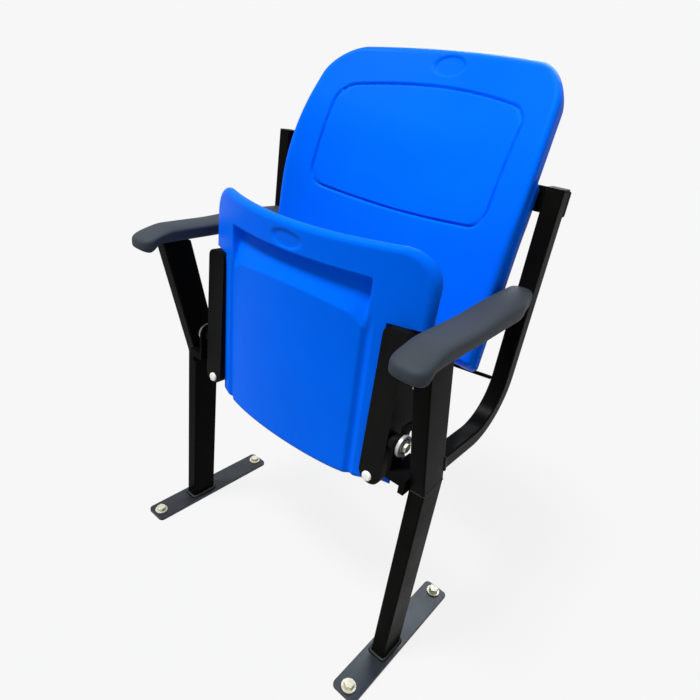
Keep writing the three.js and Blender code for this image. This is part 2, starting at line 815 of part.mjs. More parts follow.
function coverScrewBore() {
  return barX(coverScrewRadius + gap, screwTip - gap, screwHeadInner, coverScrewY, coverScrewZ, smallSides);
}

function coverScrew() {
  const headEnd = screwHeadInner + coverScrewHeadHeight;
  return join(
    barX(coverScrewHeadRadius, screwHeadInner, headEnd, coverScrewY, coverScrewZ, smallSides),
    barX(coverScrewRadius, screwTip, headEnd - coverScrewHeadHeight / 2, coverScrewY, coverScrewZ, smallSides),
  );
}

// The screw under the white cap goes through the cover's post into the seat's side lip
const capScrewHead = coverFront - gap;
const capScrewTip = seatRearAt(capX, capZ) - seatLip + capScrewBite;

function capScrew() {
  const headFront = capScrewHead - coverScrewHeadHeight;
  return join(
    barY(coverScrewHeadRadius, headFront, capScrewHead, capX, capZ, smallSides),
    barY(coverScrewRadius, headFront + coverScrewHeadHeight / 2, capScrewTip, capX, capZ, smallSides),
  );
}

function capScrewBore() {
  return barY(coverScrewRadius + gap, coverFront - overrun, capScrewTip + gap, capX, capZ, smallSides);
}

// Domed white cap over that screw's head
function screwCap() {
  const rise = capHeight + coverScrewHeadHeight / 2;
  const dome = new THREE.LatheGeometry([
    new THREE.Vector2(0, 0),
    new THREE.Vector2(capRadius, 0),
    new THREE.Vector2(capRadius, rise / 2),
    new THREE.Vector2(capRadius * Math.cos(Math.PI / 6), rise * Math.sin(Math.PI / 3)),
    new THREE.Vector2(0, rise),
  ], roundSides);
  const placed = dome.rotateX(Math.PI).translate(capX, capScrewHead, capZ);
  const pocketFront = capScrewHead - coverScrewHeadHeight - gap;
  return cut(placed, barY(coverScrewHeadRadius + gap, pocketFront, overrun, capX, capZ, smallSides));
}

// Flanged bush through the cover's outer side, whose collar spaces the cover off the lug
function pivotBush() {
  const sleeveEnd = collarInner + bushCollarLength / 2;
  const sleeve = ring(bushOuterRadius, pivotRadius + gap, coverOuterWallInner, sleeveEnd);
  const collar = ring(bushCollarRadius, pivotRadius + gap, collarInner, collarInner + bushCollarLength);
  return join(sleeve, collar);
}

function stopPin() {
  const start = coverOuterWallInner - gap;
  return barX(stopPinRadius, start, lugInner + lugThickness, stopPinY, stopPinZ, smallSides);
}

// Wound return spring round the pivot bolt, with one tail up inside the cover
function returnSpring() {
  const start = springInnerEnd + springWire / 2 + gap;
  const steps = springTurns * springStepsPerTurn;
  const pitch = springWire + gap;
  const points = [];
  for (let k = 0; k <= steps; k += 1) {
    const turn = k / springStepsPerTurn;
    const angle = 2 * Math.PI * turn;
    points.push(new THREE.Vector3(
      start + pitch * turn,
      pivotSetback + springRadius * Math.cos(angle),
      pivotHeight + springRadius * Math.sin(angle),
    ));
  }
  points.push(points[steps].clone().add(new THREE.Vector3(0, 0, springTail / 2)));
  points.push(points[steps].clone().add(new THREE.Vector3(0, 0, springTail)));
  const wire = new THREE.Shape();
  wire.absarc(0, 0, springWire / 2, 0, 2 * Math.PI);
  return new THREE.ExtrudeGeometry(wire, {
    steps: points.length - 1,
    extrudePath: new THREE.CatmullRomCurve3(points),
    curveSegments: 3,
    bevelEnabled: false,
  });
}

// The seat: a hollowed shell with a finger pocket under its front band and thin side lips for the covers
const boxHalfWidth = coverInnerFace - gap;
const lipHalfWidth = coverOuterWallInner - gap;
const lipTop = coverBottom + coverLength + gap;
const lipChord = 0.25;
const seatColumnsOut = [
  0,
  pocketHalfWidth / 3,
  pocketHalfWidth / 1.5,
  pocketHalfWidth - pocketBlend,
  pocketHalfWidth,
  boxHalfWidth,
  boxHalfWidth + gap / 3,
  seatHalfWidth - 3 * seatRim,
  seatHalfWidth - seatRim,
  seatHalfWidth - seatRim / 2,
  seatHalfWidth - seatRim / 8,
  seatHalfWidth,
];
const seatColumns = [...seatColumnsOut.slice(1).reverse().map((x) => -x), ...seatColumnsOut];
const seatTop = seatBottom + seatLength;
const seatRows = [
  seatBottom,
  seatBottom + seatRim / 8,
  seatBottom + seatRim / 2,
  seatBottom + seatRim,
  pivotHeight,
  pocketTop - 2 * pocketSideHeight,
  pocketTop - pocketSideHeight,
  pocketTop - (pocketCentreHeight + pocketSideHeight) / 2,
  lipTop,
  lipTop + gap / 3,
  pocketTop - pocketCentreHeight / 2,
  pocketTop - gap / 3,
  pocketTop,
  seatTop - seatTopCorner * 0.7,
  seatTop - seatTopCorner * 0.4,
  seatTop - seatRim,
  seatTop - seatRim / 2,
  seatTop - seatRim / 8,
  seatTop,
];

function seatHalfWidthAt(z) {
  const corner = Math.max(0, z - (seatTop - seatTopCorner));
  const rounded = seatTopCorner - Math.sqrt(Math.max(0, seatTopCorner ** 2 - corner ** 2));
  return (z > lipTop ? seatHalfWidth : lipHalfWidth) - rounded;
}

function seatPoint(column, row) {
  const place = seatColumns[column];
  const level = seatRows[row];
  const halfWidth = seatHalfWidthAt(level);
  const outward = Math.max(0, Math.abs(place) - pocketHalfWidth) / (seatHalfWidth - pocketHalfWidth);
  const inLip = level <= lipTop && Math.abs(place) > boxHalfWidth;
  const squeezed = level > lipTop
    ? Math.min(Math.abs(place), pocketHalfWidth) + outward * (halfWidth - pocketHalfWidth)
    : THREE.MathUtils.mapLinear(Math.abs(place), boxHalfWidth, seatHalfWidth, boxHalfWidth, lipHalfWidth);
  const x = Math.sign(place) * (level > lipTop || inLip ? squeezed : Math.abs(place));
  const across = 1 - (x / seatHalfWidth) ** 2;
  const sideShare = Math.min(1, Math.abs(x) / boxHalfWidth);
  const lift = seatSideLift * sideShare ** 6 * (1 - THREE.MathUtils.smoothstep(level, seatBottom, pivotHeight));
  const dip = seatTopDip * across * THREE.MathUtils.smoothstep(level, pocketTop, seatTop);
  const edge = Math.min(
    rimFill(halfWidth - Math.abs(x), inLip ? seatLip : seatRim),
    rimFill(level - seatBottom, inLip ? seatLip : seatRim),
    rimFill(seatTop - level, seatRim),
  );
  const pocketHeight = THREE.MathUtils.lerp(pocketSideHeight, pocketCentreHeight, across);
  const pocketRise = THREE.MathUtils.clamp(1 - (pocketTop - level) / pocketHeight, 0, 1);
  const inPocket = Math.abs(place) < pocketHalfWidth && level < pocketTop;
  const thickness = inLip ? seatLip : seatThickness - (inPocket ? pocketDepth * pocketRise : 0);
  const rear = seatRearAt(x, level);
  return { x, z: level + lift - dip, rear, thickness, edge: Math.max(edge, gap / 2) };
}

function seatShell() {
  const frontAt = (i, j) => {
    const { x, z, rear, thickness, edge } = seatPoint(i, j);
    return [x, rear - thickness * (0.5 + edge / 2), z];
  };
  const backAt = (i, j) => {
    const { x, z, rear, thickness, edge } = seatPoint(i, j);
    return [x, rear - thickness * (0.5 - edge / 2), z];
  };
  const shell = closedSlab(seatColumns.length, seatRows.length, frontAt, backAt);
  const bores = [coverScrewBore(), capScrewBore()];
  return cut(shell, ...bores, ...bores.map(mirrored));
}

// The backrest: straight low down, bent back above, hollowed across, with deeper side flanges low down
const backLength = backEdgeLength;
const backColumnShares = [1, 0.99, 0.975, 0.95, 0.9, 0.87, 0.65, 0.4, 0.2];
const backColumns = [...backColumnShares.map((share) => -share), 0, ...backColumnShares.slice().reverse()];
const backRows = [
  0,
  backRim / 8,
  backRim / 2,
  backRim,
  backFootSlant * 2,
  backStraightLength / 2,
  backStraightLength,
  backStraightLength + backBendLength / 4,
  backFlangeLength - backFlangeBlend,
  backFlangeLength,
  backStraightLength + backBendLength * 0.75,
  backLength - backTopCorner,
  backLength - backTopCorner * 0.7,
  backLength - backTopCorner * 0.4,
  backLength - backRim,
  backLength - backRim / 2,
  backLength - backRim / 8,
  backLength,
];

// A point of the backrest's side edge in the side view, and how far it leans there
function backProfile(along) {
  const bend = THREE.MathUtils.clamp(along - backStraightLength, 0, backBendLength);
  const lean = backLowerLean + (backUpperLean - backLowerLean) * (bend / backBendLength);
  const bendRadius = backBendLength / (backUpperLean - backLowerLean);
  const below = Math.min(along, backStraightLength);
  const above = Math.max(0, along - backStraightLength - backBendLength);
  const y = backBaseDistance + below * Math.sin(backLowerLean)
    + bendRadius * (Math.cos(backLowerLean) - Math.cos(lean)) + above * Math.sin(backUpperLean);
  const z = backBaseHeight + below * Math.cos(backLowerLean)
    + bendRadius * (Math.sin(lean) - Math.sin(backLowerLean)) + above * Math.cos(backUpperLean);
  return { y, z, lean };
}

const backBaseHeight = rodHeight + rodRadius + gap;

function backHalfWidthAt(along) {
  const top = Math.max(0, along - (backLength - backTopCorner));
  const bottom = Math.max(0, backBottomCorner - along);
  const topRound = backTopCorner - Math.sqrt(Math.max(0, backTopCorner ** 2 - top ** 2));
  const bottomRound = backBottomCorner - Math.sqrt(Math.max(0, backBottomCorner ** 2 - bottom ** 2));
  const above = Math.max(0, along - backWidestPlace) / (backLength - backWidestPlace);
  const below = Math.max(0, backWidestPlace - along) / backWidestPlace;
  return backHalfWidth - backTopTaper * above ** 2 - backLowerTaper * below - topRound - bottomRound;
}

// How far the backrest is hollowed at its middle, which grows with height
function backHollowAt(along) {
  const rise = THREE.MathUtils.smoothstep(along, backFootSlant * 2, backHollowReach);
  return THREE.MathUtils.lerp(backLowHollow, backHighHollow, rise);
}

function backPointAt(share, along) {
  const halfWidth = backHalfWidthAt(along);
  const x = share * halfWidth;
  const across = 1 - (x / backHalfWidth) ** 2;
  const stretched = along + across * (backCrown * along - backFoot * (backLength - along)) / backLength;
  const footShare = 1 - THREE.MathUtils.smoothstep(along, 0, backFootSlant * 2);
  const fromSide = halfWidth - Math.abs(x);
  const fromTop = backLength - along;
  const frontDepth = backRim * (1 - rimFill(Math.min(fromSide, fromTop, along), backRim));
  const rearFill = rimFill(Math.min(fromSide, fromTop, along), backRearRim);
  const edgeUp = 1 - THREE.MathUtils.smoothstep(along, backLength - backTopCorner, backLength - backRim);
  const flangeUp = 1 - THREE.MathUtils.smoothstep(along, backFlangeLength - backFlangeBlend, backFlangeLength);
  const flangeIn = 1 - THREE.MathUtils.smoothstep(
    fromSide,
    backFlangeWidth - backRim / 2,
    backFlangeWidth,
  );
  const thickness = backThickness + (backEdgeDepth * edgeUp + backFlangeDepth * flangeUp) * flangeIn;
  const fullDepth = backThickness + backEdgeDepth + backFlangeDepth;
  const place = (depth) => {
    const raised = stretched + backFootSlant * footShare * (1 - depth / fullDepth);
    const { y, z, lean } = backProfile(Math.max(0, raised));
    const reach = depth + backHollowAt(along) * across;
    return [x, y + reach * Math.cos(lean), z + Math.min(0, raised) - reach * Math.sin(lean)];
  };
  return { place, frontDepth, rearDepth: thickness - backRearRim * (1 - rearFill) };
}

function backrestBody() {
  const frontAt = (i, j) => {
    const { place, frontDepth } = backPointAt(backColumns[i], backRows[j]);
    return place(frontDepth);
  };
  const backAt = (i, j) => {
    const { place, rearDepth } = backPointAt(backColumns[i], backRows[j]);
    return place(rearDepth);
  };
  return closedSlab(backColumns.length, backRows.length, frontAt, backAt);
}

// The backrest's body moved back by the clearance, which shapes whatever lies against its rear
function backrestSpace() {
  return backrestBody().translate(0, gap, 0);
}

function backrest() {
  const bracketSpace = frontPlate(bracketOutline(gap), bracketFront - gap, overrun, 3);
  const tools = [backBoltBore(), clipScrewBore(), bracketSpace];
  return cut(backrestBody(), ...tools, ...tools.map(mirrored));
}

// Rod that the backrest's lower edge stands on, welded between the back tubes
function rodCentreHeight(x) {
  const span = legInner - gap;
  return rodHeight - rodDip * (1 - (x / span) ** 2);
}

function crossRod() {
  const span = legInner - gap;
  const steps = 16;
  const points = [];
  for (let k = 0; k <= steps; k += 1) {
    const x = span * (2 * k / steps - 1);
    points.push(new THREE.Vector3(x, rodDistance, rodCentreHeight(x)));
  }
  const round = new THREE.Shape();
  round.absarc(0, 0, rodRadius, 0, 2 * Math.PI);
  const rod = new THREE.ExtrudeGeometry(round, {
    steps,
    extrudePath: new THREE.CatmullRomCurve3(points),
    curveSegments: 5,
    bevelEnabled: false,
  });
  const ends = [-1, 1].map((side) => (
    new THREE.BoxGeometry(overrun, overrun, overrun)
      .translate(side * (span + overrun / 2), rodDistance, rodHeight)
  ));
  return cut(rod, ...ends);
}

// Bracket plates welded behind the back tubes, bolted to the backrest's side flanges
const bracketFront = uprightDistance + halfBackTube + gap;
const bracketRear = bracketFront + bracketThickness;
const bracketMiddle = uprightTop - bracketHeight / 2;
const backBoltX = bracketInnerEdge + backBoltInset;
const backBoltTip = bracketFront - backBoltBite;

function bracketOutline(clearance) {
  const outboard = halfPitch + halfTube;
  const middle = (outboard + bracketInnerEdge) / 2;
  return roundedRectangle(
    outboard - bracketInnerEdge + 2 * clearance,
    bracketHeight + 2 * clearance,
    tubeCorner + clearance,
    middle,
    bracketMiddle,
  );
}

function backBracket() {
  const plate = frontPlate(bracketOutline(0), bracketFront, bracketThickness, 3);
  return cut(plate, backBoltBore()).translate(-halfPitch, 0, 0);
}

function backBoltBore() {
  const boreEnd = bracketRear + overrun;
  return barY(backBoltRadius + gap, backBoltTip - gap, boreEnd, backBoltX, bracketMiddle, smallSides);
}

// Bolt with a washer head
function backBolt() {
  const washerStart = bracketRear + gap;
  const head = washerStart + backBoltWasherThickness / 2;
  const headEnd = washerStart + backBoltWasherThickness + backBoltHeadHeight;
  return join(
    barY(backBoltHeadRadius, head, headEnd, backBoltX, bracketMiddle, 6),
    barY(backBoltWasherRadius, washerStart, washerStart + backBoltWasherThickness, backBoltX, bracketMiddle),
    barY(backBoltRadius, backBoltTip, head, backBoltX, bracketMiddle, smallSides),
  );
}

// Moulded saddles screwed to the backrest's rear that hook round the rod
const clipTop = rodCentreHeight(clipPlace) + clipTail;
const clipScrewZ = rodCentreHeight(clipPlace) + clipScrewRise;
const clipRear = rodDistance + clipWall / 2;

function rodClip() {
  const start = clipPlace - clipWidth / 2;
  const centre = rodCentreHeight(clipPlace);
  const rodSpace = rodRadius + 2 * gap;
  const hookRadius = rodSpace + clipWall;
  const hook = barX(hookRadius, start, start + clipWidth, rodDistance, centre, smallSides);
  const tail = block(start, start + clipWidth, clipRear - clipReach, clipRear, centre, clipTop);
  const bore = barX(rodSpace, start - overrun, start + clipWidth + overrun, rodDistance, centre, smallSides);
  const mouth = block(
    start - overrun,
    start + clipWidth + overrun,
    rodDistance - overrun,
    rodDistance,
    centre - overrun,
    centre,
  );
  const before = backrestBody().translate(0, -backThickness / 2, 0);
  return cut(join(hook, tail), bore, mouth, backrestSpace(), before, clipScrewBore());
}

const clipScrewTip = clipRear - clipScrewBite - clipWall;

function clipScrewBore() {
  return barY(clipScrewRadius + gap, clipScrewTip - gap, clipRear + overrun, clipPlace, clipScrewZ, smallSides);
}

function clipScrew() {
  const head = clipRear + gap;
  return join(
    barY(clipScrewHeadRadius, head, head + clipScrewHeadHeight, clipPlace, clipScrewZ, smallSides),
    barY(clipScrewRadius, clipScrewTip, head + clipScrewHeadHeight / 2, clipPlace, clipScrewZ, smallSides),
  );
}

const sides = [
  { name: 'left', sign: -1 },
  { name: 'right', sign: 1 },
];

const seat = new THREE.Group();
const frame = new THREE.Group();
const tipUpSeat = new THREE.Group();
seat.add(frame, tipUpSeat);

for (const { name, sign } of sides) {
  const handed = (geometry) => (sign > 0 ? geometry : mirrored(geometry));
  const [frontBolt, rearBolt] = boltPlaces();
  const sideFrame = new THREE.Group();
  sideFrame.position.x = sign * halfPitch;
  frame.add(sideFrame);
  sideFrame.add(
    piece(`${name}_floor_plate`, floorPlate(), 'frame'),
    piece(`${name}_leg_tube`, legTube(), 'frame'),
    piece(`${name}_arm_strut`, armStrut(), 'frame'),
    piece(`${name}_back_tube`, backTube(), 'frame'),
    piece(`${name}_tube_cap`, tubeCap(), 'cover'),
    piece(`${name}_arm_plate`, armPlate(), 'frame'),
    piece(`${name}_armrest`, handed(armrest()), 'arm'),
    piece(`${name}_arm_screw`, armScrew(), 'zinc'),
    piece(`${name}_pivot_bracket`, handed(pivotBracket()), 'frame'),
    piece(`${name}_pivot_bolt`, handed(pivotBolt()), 'zinc'),
    piece(`${name}_pivot_washer`, handed(pivotWasher()), 'nylon'),
    piece(`${name}_pivot_nut`, handed(pivotNut()), 'zinc'),
    piece(`${name}_back_bracket`, handed(backBracket()), 'frame'),
    piece(`${name}_front_floor_bolt`, floorBolt(frontBolt), 'zinc'),
    piece(`${name}_rear_floor_bolt`, floorBolt(rearBolt), 'zinc'),
    piece(`${name}_front_floor_washer`, floorWasher(frontBolt), 'zinc'),
    piece(`${name}_rear_floor_washer`, floorWasher(rearBolt), 'zinc'),
  );
  frame.add(
    piece(`${name}_back_bolt`, handed(backBolt()), 'zinc'),
    piece(`${name}_rod_clip`, handed(rodClip()), 'cover'),
    piece(`${name}_clip_screw`, handed(clipScrew()), 'zinc'),
  );
  tipUpSeat.add(
    piece(`${name}_hinge_cover`, handed(hingeCover()), 'cover'),
    piece(`${name}_cover_screw`, handed(coverScrew()), 'zinc'),
    piece(`${name}_cap_screw`, handed(capScrew()), 'zinc'),
    piece(`${name}_screw_cap`, handed(screwCap()), 'cap'),
    piece(`${name}_pivot_bush`, handed(pivotBush()), 'cover'),
    piece(`${name}_stop_pin`, handed(stopPin()), 'zinc'),
    piece(`${name}_return_spring`, handed(returnSpring()), 'spring'),
  );
}

frame.add(
  piece('backrest', backrest(), 'shell'),
  piece('cross_rod', crossRod(), 'frame'),
);
tipUpSeat.add(piece('seat_shell', seatShell(), 'shell'));

const box = new THREE.Box3().setFromObject(seat);
const middle = box.getCenter(new THREE.Vector3());
seat.position.set(-middle.x, -middle.y, -box.min.z);

export default seat;
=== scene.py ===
"""A tip-up stadium seat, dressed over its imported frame. Metres, +Z up, the sitter faces -Y."""

import json
import math

import bpy
import numpy as np
from bpy.props import FloatProperty, FloatVectorProperty, PointerProperty
from mathutils import Matrix, Vector


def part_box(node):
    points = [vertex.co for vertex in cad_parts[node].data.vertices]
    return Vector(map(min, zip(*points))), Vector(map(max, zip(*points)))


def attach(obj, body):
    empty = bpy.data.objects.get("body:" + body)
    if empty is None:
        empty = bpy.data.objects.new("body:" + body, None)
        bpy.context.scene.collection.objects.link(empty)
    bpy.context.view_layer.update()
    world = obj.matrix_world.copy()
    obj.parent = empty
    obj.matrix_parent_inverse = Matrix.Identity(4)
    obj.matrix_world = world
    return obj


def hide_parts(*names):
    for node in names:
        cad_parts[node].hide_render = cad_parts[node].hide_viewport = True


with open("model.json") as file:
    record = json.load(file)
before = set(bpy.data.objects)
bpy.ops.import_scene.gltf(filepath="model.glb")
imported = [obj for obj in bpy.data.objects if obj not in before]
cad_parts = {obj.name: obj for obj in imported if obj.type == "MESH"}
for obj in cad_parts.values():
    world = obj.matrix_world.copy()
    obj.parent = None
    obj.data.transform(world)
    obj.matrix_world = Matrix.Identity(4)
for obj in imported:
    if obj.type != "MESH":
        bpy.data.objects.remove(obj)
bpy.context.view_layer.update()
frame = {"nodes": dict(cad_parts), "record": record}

bl_info = {
    "name": "Tip-up Stadium Seat",
    "version": (1, 0, 0),
    "blender": (4, 5, 0),
    "location": "3D View > Sidebar > Seat",
    "description": "Models and dresses a tip-up stadium seat over its measured frame",
    "category": "Object",
}

SIDES = {"left": -1, "right": 1}
MM = 0.001

# Where the drawing's own zero lies in the frame: the floor plates stand 28 mm behind it
PLATE_SETBACK = 28 * MM
plate_low, plate_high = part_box("left_floor_plate")
DRAWN = Vector((0, (plate_low[1] + plate_high[1]) / 2 - PLATE_SETBACK, 0))
# How far the middles of the two side frames stand apart
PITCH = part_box("right_floor_plate")[1][0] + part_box("right_floor_plate")[0][0]

# Backrest, measured along its curved side edge from its lower edge up
BACK_HALF_WIDTH = 226.5 * MM
BACK_TOP_TAPER = 20 * MM
BACK_LOWER_TAPER = 6 * MM
BACK_WIDEST_PLACE = 239 * MM
BACK_LENGTH = 451 * MM
BACK_BASE_Y = 117 * MM
BACK_BASE_Z = 464.3 * MM
BACK_STRAIGHT = 184 * MM
BACK_BEND = 191 * MM
BACK_LOWER_LEAN = math.radians(5)
BACK_UPPER_LEAN = math.radians(27)
BACK_LOW_HOLLOW = 25 * MM
BACK_HIGH_HOLLOW = 53 * MM
BACK_HOLLOW_REACH = 290 * MM
BACK_CROWN = 46 * MM
BACK_FOOT = 18 * MM
BACK_TOP_CORNER = 53 * MM
BACK_BOTTOM_CORNER = 10 * MM
BACK_THICKNESS = 20 * MM
BACK_RIM = 14 * MM
BACK_REAR_RIM = 4 * MM
BACK_FOOT_SLANT = 22 * MM
BACK_EDGE_DEPTH = 12 * MM
BACK_FLANGE_DEPTH = 14 * MM
BACK_FLANGE_WIDTH = 27 * MM
BACK_FLANGE_LENGTH = 300 * MM
BACK_FLANGE_BLEND = 10 * MM
BACK_SEAM_DEPTH = 19 * MM
BACK_SEAM_WIDTH = 8 * MM
BACK_SEAM_SINK = 4.2 * MM
BACK_SEAM_START = 8 * MM
BACK_SEAM_FULL = 20 * MM
BACK_SWELL = 2.2 * MM
BACK_SWELL_RAMP = 6 * MM
BACK_SWELL_END = 4 * MM
BACK_SWELL_TOP = 9 * MM
BACK_SWELL_PAST_TOP = 3 * MM
BACK_SMOOTH_ANGLE = 50

# Middle line of the moulded groove: it bows up at the middle of its top and down at that of its bottom
GROOVE_LOW = 197 * MM
GROOVE_HIGH = 391 * MM
GROOVE_LOW_BOW = 15 * MM
GROOVE_HIGH_BOW = 12 * MM
GROOVE_HALF_WIDTH = 172 * MM
GROOVE_CORNER = 27 * MM
PAD_ALONG = 422.5 * MM
PAD_WALL = 3 * MM

# Where the backrest's mesh lines fall, in millimetres in from its side and up from its lower edge:
# each pair is the end of a stretch and the step inside it
BACK_SIDE_STRETCHES = (
    (0.3, 0.3), (1, 0.7), (3, 1), (9, 1.5), (15, 2), (20, 2.5),
    (28, 1.3), (36, 3), (60, 1.3), (196, 4.2), (226.5, 1.6),
)
BACK_ROW_STRETCHES = (
    (0.3, 0.3), (1, 0.7), (3, 1), (9, 1.5), (15, 2), (45, 4), (191, 6), (218, 1.3), (290, 5), (300, 1.5),
    (372, 5), (397, 1.3), (404, 2), (441, 1.5), (445, 1.5), (449, 0.8), (450.7, 0.4), (451, 0.2),
)
BACK_WALL_SHARES = (
    0, 0.07, 0.12, 0.16, 0.2, 0.24, 0.3, 0.34, 0.38, 0.42, 0.46, 0.5, 0.56, 0.7, 0.85, 1,
)

# Seat, standing tipped up
SEAT_HALF_WIDTH = 212 * MM
SEAT_BOTTOM = 303 * MM
SEAT_LENGTH = 371 * MM
SEAT_TOP = SEAT_BOTTOM + SEAT_LENGTH
SEAT_TOP_DIP = 8 * MM
SEAT_SIDE_LIFT = 9 * MM
SEAT_TOP_CORNER = 50 * MM
SEAT_REAR = 12 * MM
SEAT_LOW_HOLLOW = 32 * MM
SEAT_HIGH_HOLLOW = 54 * MM
SEAT_THICKNESS = 20 * MM
SEAT_LIP = 4.5 * MM
SEAT_RIM = 10 * MM
PIVOT_Z = 406 * MM
POCKET_TOP = 624 * MM
POCKET_CENTRE = 46 * MM
POCKET_SIDE = 79 * MM
POCKET_HALF_WIDTH = 137 * MM
POCKET_DEPTH = 17 * MM
POCKET_WALL = 9 * MM
POCKET_FILLET = 14 * MM
VALLEY_WIDTH = 19 * MM
VALLEY_DEPTH = 4.2 * MM
BOX_HALF_WIDTH = 160.7 * MM
LIP_HALF_WIDTH = 195.7 * MM
LIP_TOP = 570.3 * MM
POCKET_EDGE_BELOW = 5 * MM
POCKET_EDGE_ABOVE = 1 * MM
POCKET_RAMP_SHARE = 1.2
SEAT_PAD_Z = 643 * MM
SEAT_PAD_DEPTH_SHARE = 0.75
SEAT_LEAST_EDGE_SHARE = 0.06
SEAT_SIDE_POWER = 6
SEAT_LEVELS = 4
SEAT_SMOOTH_ANGLE = 50

# Where the seat's mesh lines fall, in millimetres out from its middle and up from the floor
SEAT_OUT_STRETCHES = (
    (124, 4), (150, 1.15), (160.7, 2), (160.75, 0.05), (185, 4), (200, 2),
    (206, 1.2), (210, 0.8), (211.7, 0.5), (212, 0.3),
)
SEAT_ROW_START = 303
SEAT_ROW_STRETCHES = (
    (303.3, 0.3), (304, 0.5), (308, 1), (314, 1.6), (325, 3), (538, 6), (570.3, 1.6), (570.35, 0.05),
    (612, 1.6), (626, 0.9), (660, 1.5), (668, 1.3), (672, 0.8), (673.7, 0.5), (674, 0.3),
)

# Armrests
ARM_WIDTH = 50 * MM
ARM_THICKNESS = 25 * MM
ARM_CROWN = 1.5 * MM
ARM_NOSE = 129 * MM
ARM_REAR = 168.2 * MM
ARM_TOP_AT_LEG = 600.5 * MM
ARM_SLOPE = math.radians(2.2)
ARM_REAR_RISE = 6 * MM
ARM_REAR_RISE_END = 110 * MM
ARM_NOSE_DROP = 11.5 * MM
ARM_NOSE_LENGTH = 58 * MM
ARM_NOSE_ROUND = 28 * MM
ARM_NOSE_SQUARENESS = 2.8
ARM_NOSE_BULB = 4.5 * MM
ARM_HANG = 13 * MM
ARM_HANG_START = 10.5 * MM
ARM_HANG_LENGTH = 30 * MM
ARM_TAPER = 12 * MM
ARM_TAPER_LENGTH = 60 * MM
ARM_REAR_ROUND = 3 * MM
ARM_REAR_ROUND_START = 1.2 * MM
ARM_REAR_DRAW_SHARE = 0.06
ARM_LEAST_FILL_SHARE = 0.02
ARM_LAST_RING_SHARE = 0.9
ARM_SIDES = 56
ARM_SMOOTH_ANGLE = 60

# Where an armrest's rings fall, in millimetres back from its nose
ARM_STRETCHES = ((0.2, 0.2), (2, 0.5), (8, 1.2), (36, 2.2), (66, 4), (240, 10), (297.2, 6))

# Frame tubes, as far as the welds need them
TUBE_WIDTH = 25 * MM
LEG_DEPTH = 50 * MM
PLATE_THICKNESS = 6 * MM
KNEE_Z = 350 * MM
STRUT_LEAN = math.radians(16.1)
BACK_TUBE_Z = 387 * MM
BACK_TUBE_DEPTH = 25 * MM

# The brackets behind the backrest, into which its flanges would reach if they weren't sunk there
BRACKET_FRONT = 193.5 * MM
BRACKET_MIDDLE = 730.5 * MM
BRACKET_HALF_HEIGHT = 18 * MM
BRACKET_INNER_EDGE = 186 * MM
BRACKET_RAMP = 6 * MM

# Rounding of the carried-over pieces' edges, and the angles in degrees above which an edge is sharp
EDGE_ANGLE = 34
CAP_EDGE_ANGLE = 50
SPRING_EDGE_ANGLE = 70
FLAT_FACE_WEIGHT = 80
FLOOR_PLATE_SHARE = 1.4
COVER_EDGE = 1.6 * MM
CLIP_EDGE = 0.6 * MM
BUSH_EDGE = 0.5 * MM
SMALL_EDGE = 0.35 * MM
LARGE_EDGE = 0.7 * MM
CAP_EDGE = 0.6 * MM

# Weld beads: how far each runs outside or inside the tube's outline, its corners and its thickness
BEAD_SIDES = 10
BEAD_STEP = 1.1 * MM
BEAD_RIPPLE = 4.2 * MM
BEAD_SMOOTH_ANGLE = 60
BEAD_RIPPLE_SHARE = 0.13
BEAD_UNEVEN_SHARE = 0.06
BEAD_UNEVEN_TURN = 37
FOOT_BEAD_LIFT = 1.2 * MM
FOOT_BEAD_OUTSET = 2.6 * MM
FOOT_BEAD_CORNER = 4 * MM
KNEE_BEAD_INSET = 0.8 * MM
KNEE_BEAD_CORNER = 2.6 * MM
KNEE_BEAD_SHARE = 0.42
TUBE_BEAD_FORWARD = 0.6 * MM
TUBE_BEAD_OUTSET = 0.6 * MM
TUBE_BEAD_OUTSET_DEPTH = 2 * MM
TUBE_BEAD_CORNER = 3 * MM
TUBE_BEAD_SHARE = 0.7

# Mesh work: how near two points are one, and how flat a joint between two faces is no edge
MERGE_DISTANCE = 0.01 * MM
COPY_MERGE_DISTANCE = 0.005 * MM
FLAT_ANGLE = math.radians(0.6)

# How pale the floor is under its light, and how much of the backdrop shows over it
FLOOR_SIZE = 30
FLOOR_DROP = 0.5 * MM
FLOOR_SHADE = 0.34
BACKDROP_SHARE = 0.86
BACKDROP_LIFT = 1.07

# Lamps: where each stands or points, in metres, how wide it is and its colour
SKY_COLOUR = (0.95, 0.98, 1.0, 1)
KEY_DIRECTION = (0.22, 0.42, -1)
KEY_ANGLE = math.radians(16)
SIDE_LAMP_PLACE = (2.3, -0.5, 1.3)
SIDE_LAMP_SIZE = 2.2
SIDE_LAMP_COLOUR = (1.0, 0.97, 0.62)
REAR_LAMP_PLACE = (-0.23, 1.12, 1.65)
REAR_LAMP_SIZE = 0.9
REAR_LAMP_COLOUR = (0.76, 0.89, 1.0)
REAR_LAMP_TARGET = (0.255, -0.06, 0)
LAMP_TARGET = (0, 0, 0.45)

# Camera, with its turn to the left, its tilt down and its roll in degrees
CAMERA_TURN = 36.255
CAMERA_DOWN = 25.667
CAMERA_ROLL = 8.65
CAMERA_PLACE = Vector((0.4959, -0.5539, 0.8236))
CAMERA_CLIP = 0.02
FOCAL_PIXELS = 525.9
FRAME_PIXELS = 700
SENSOR = 36


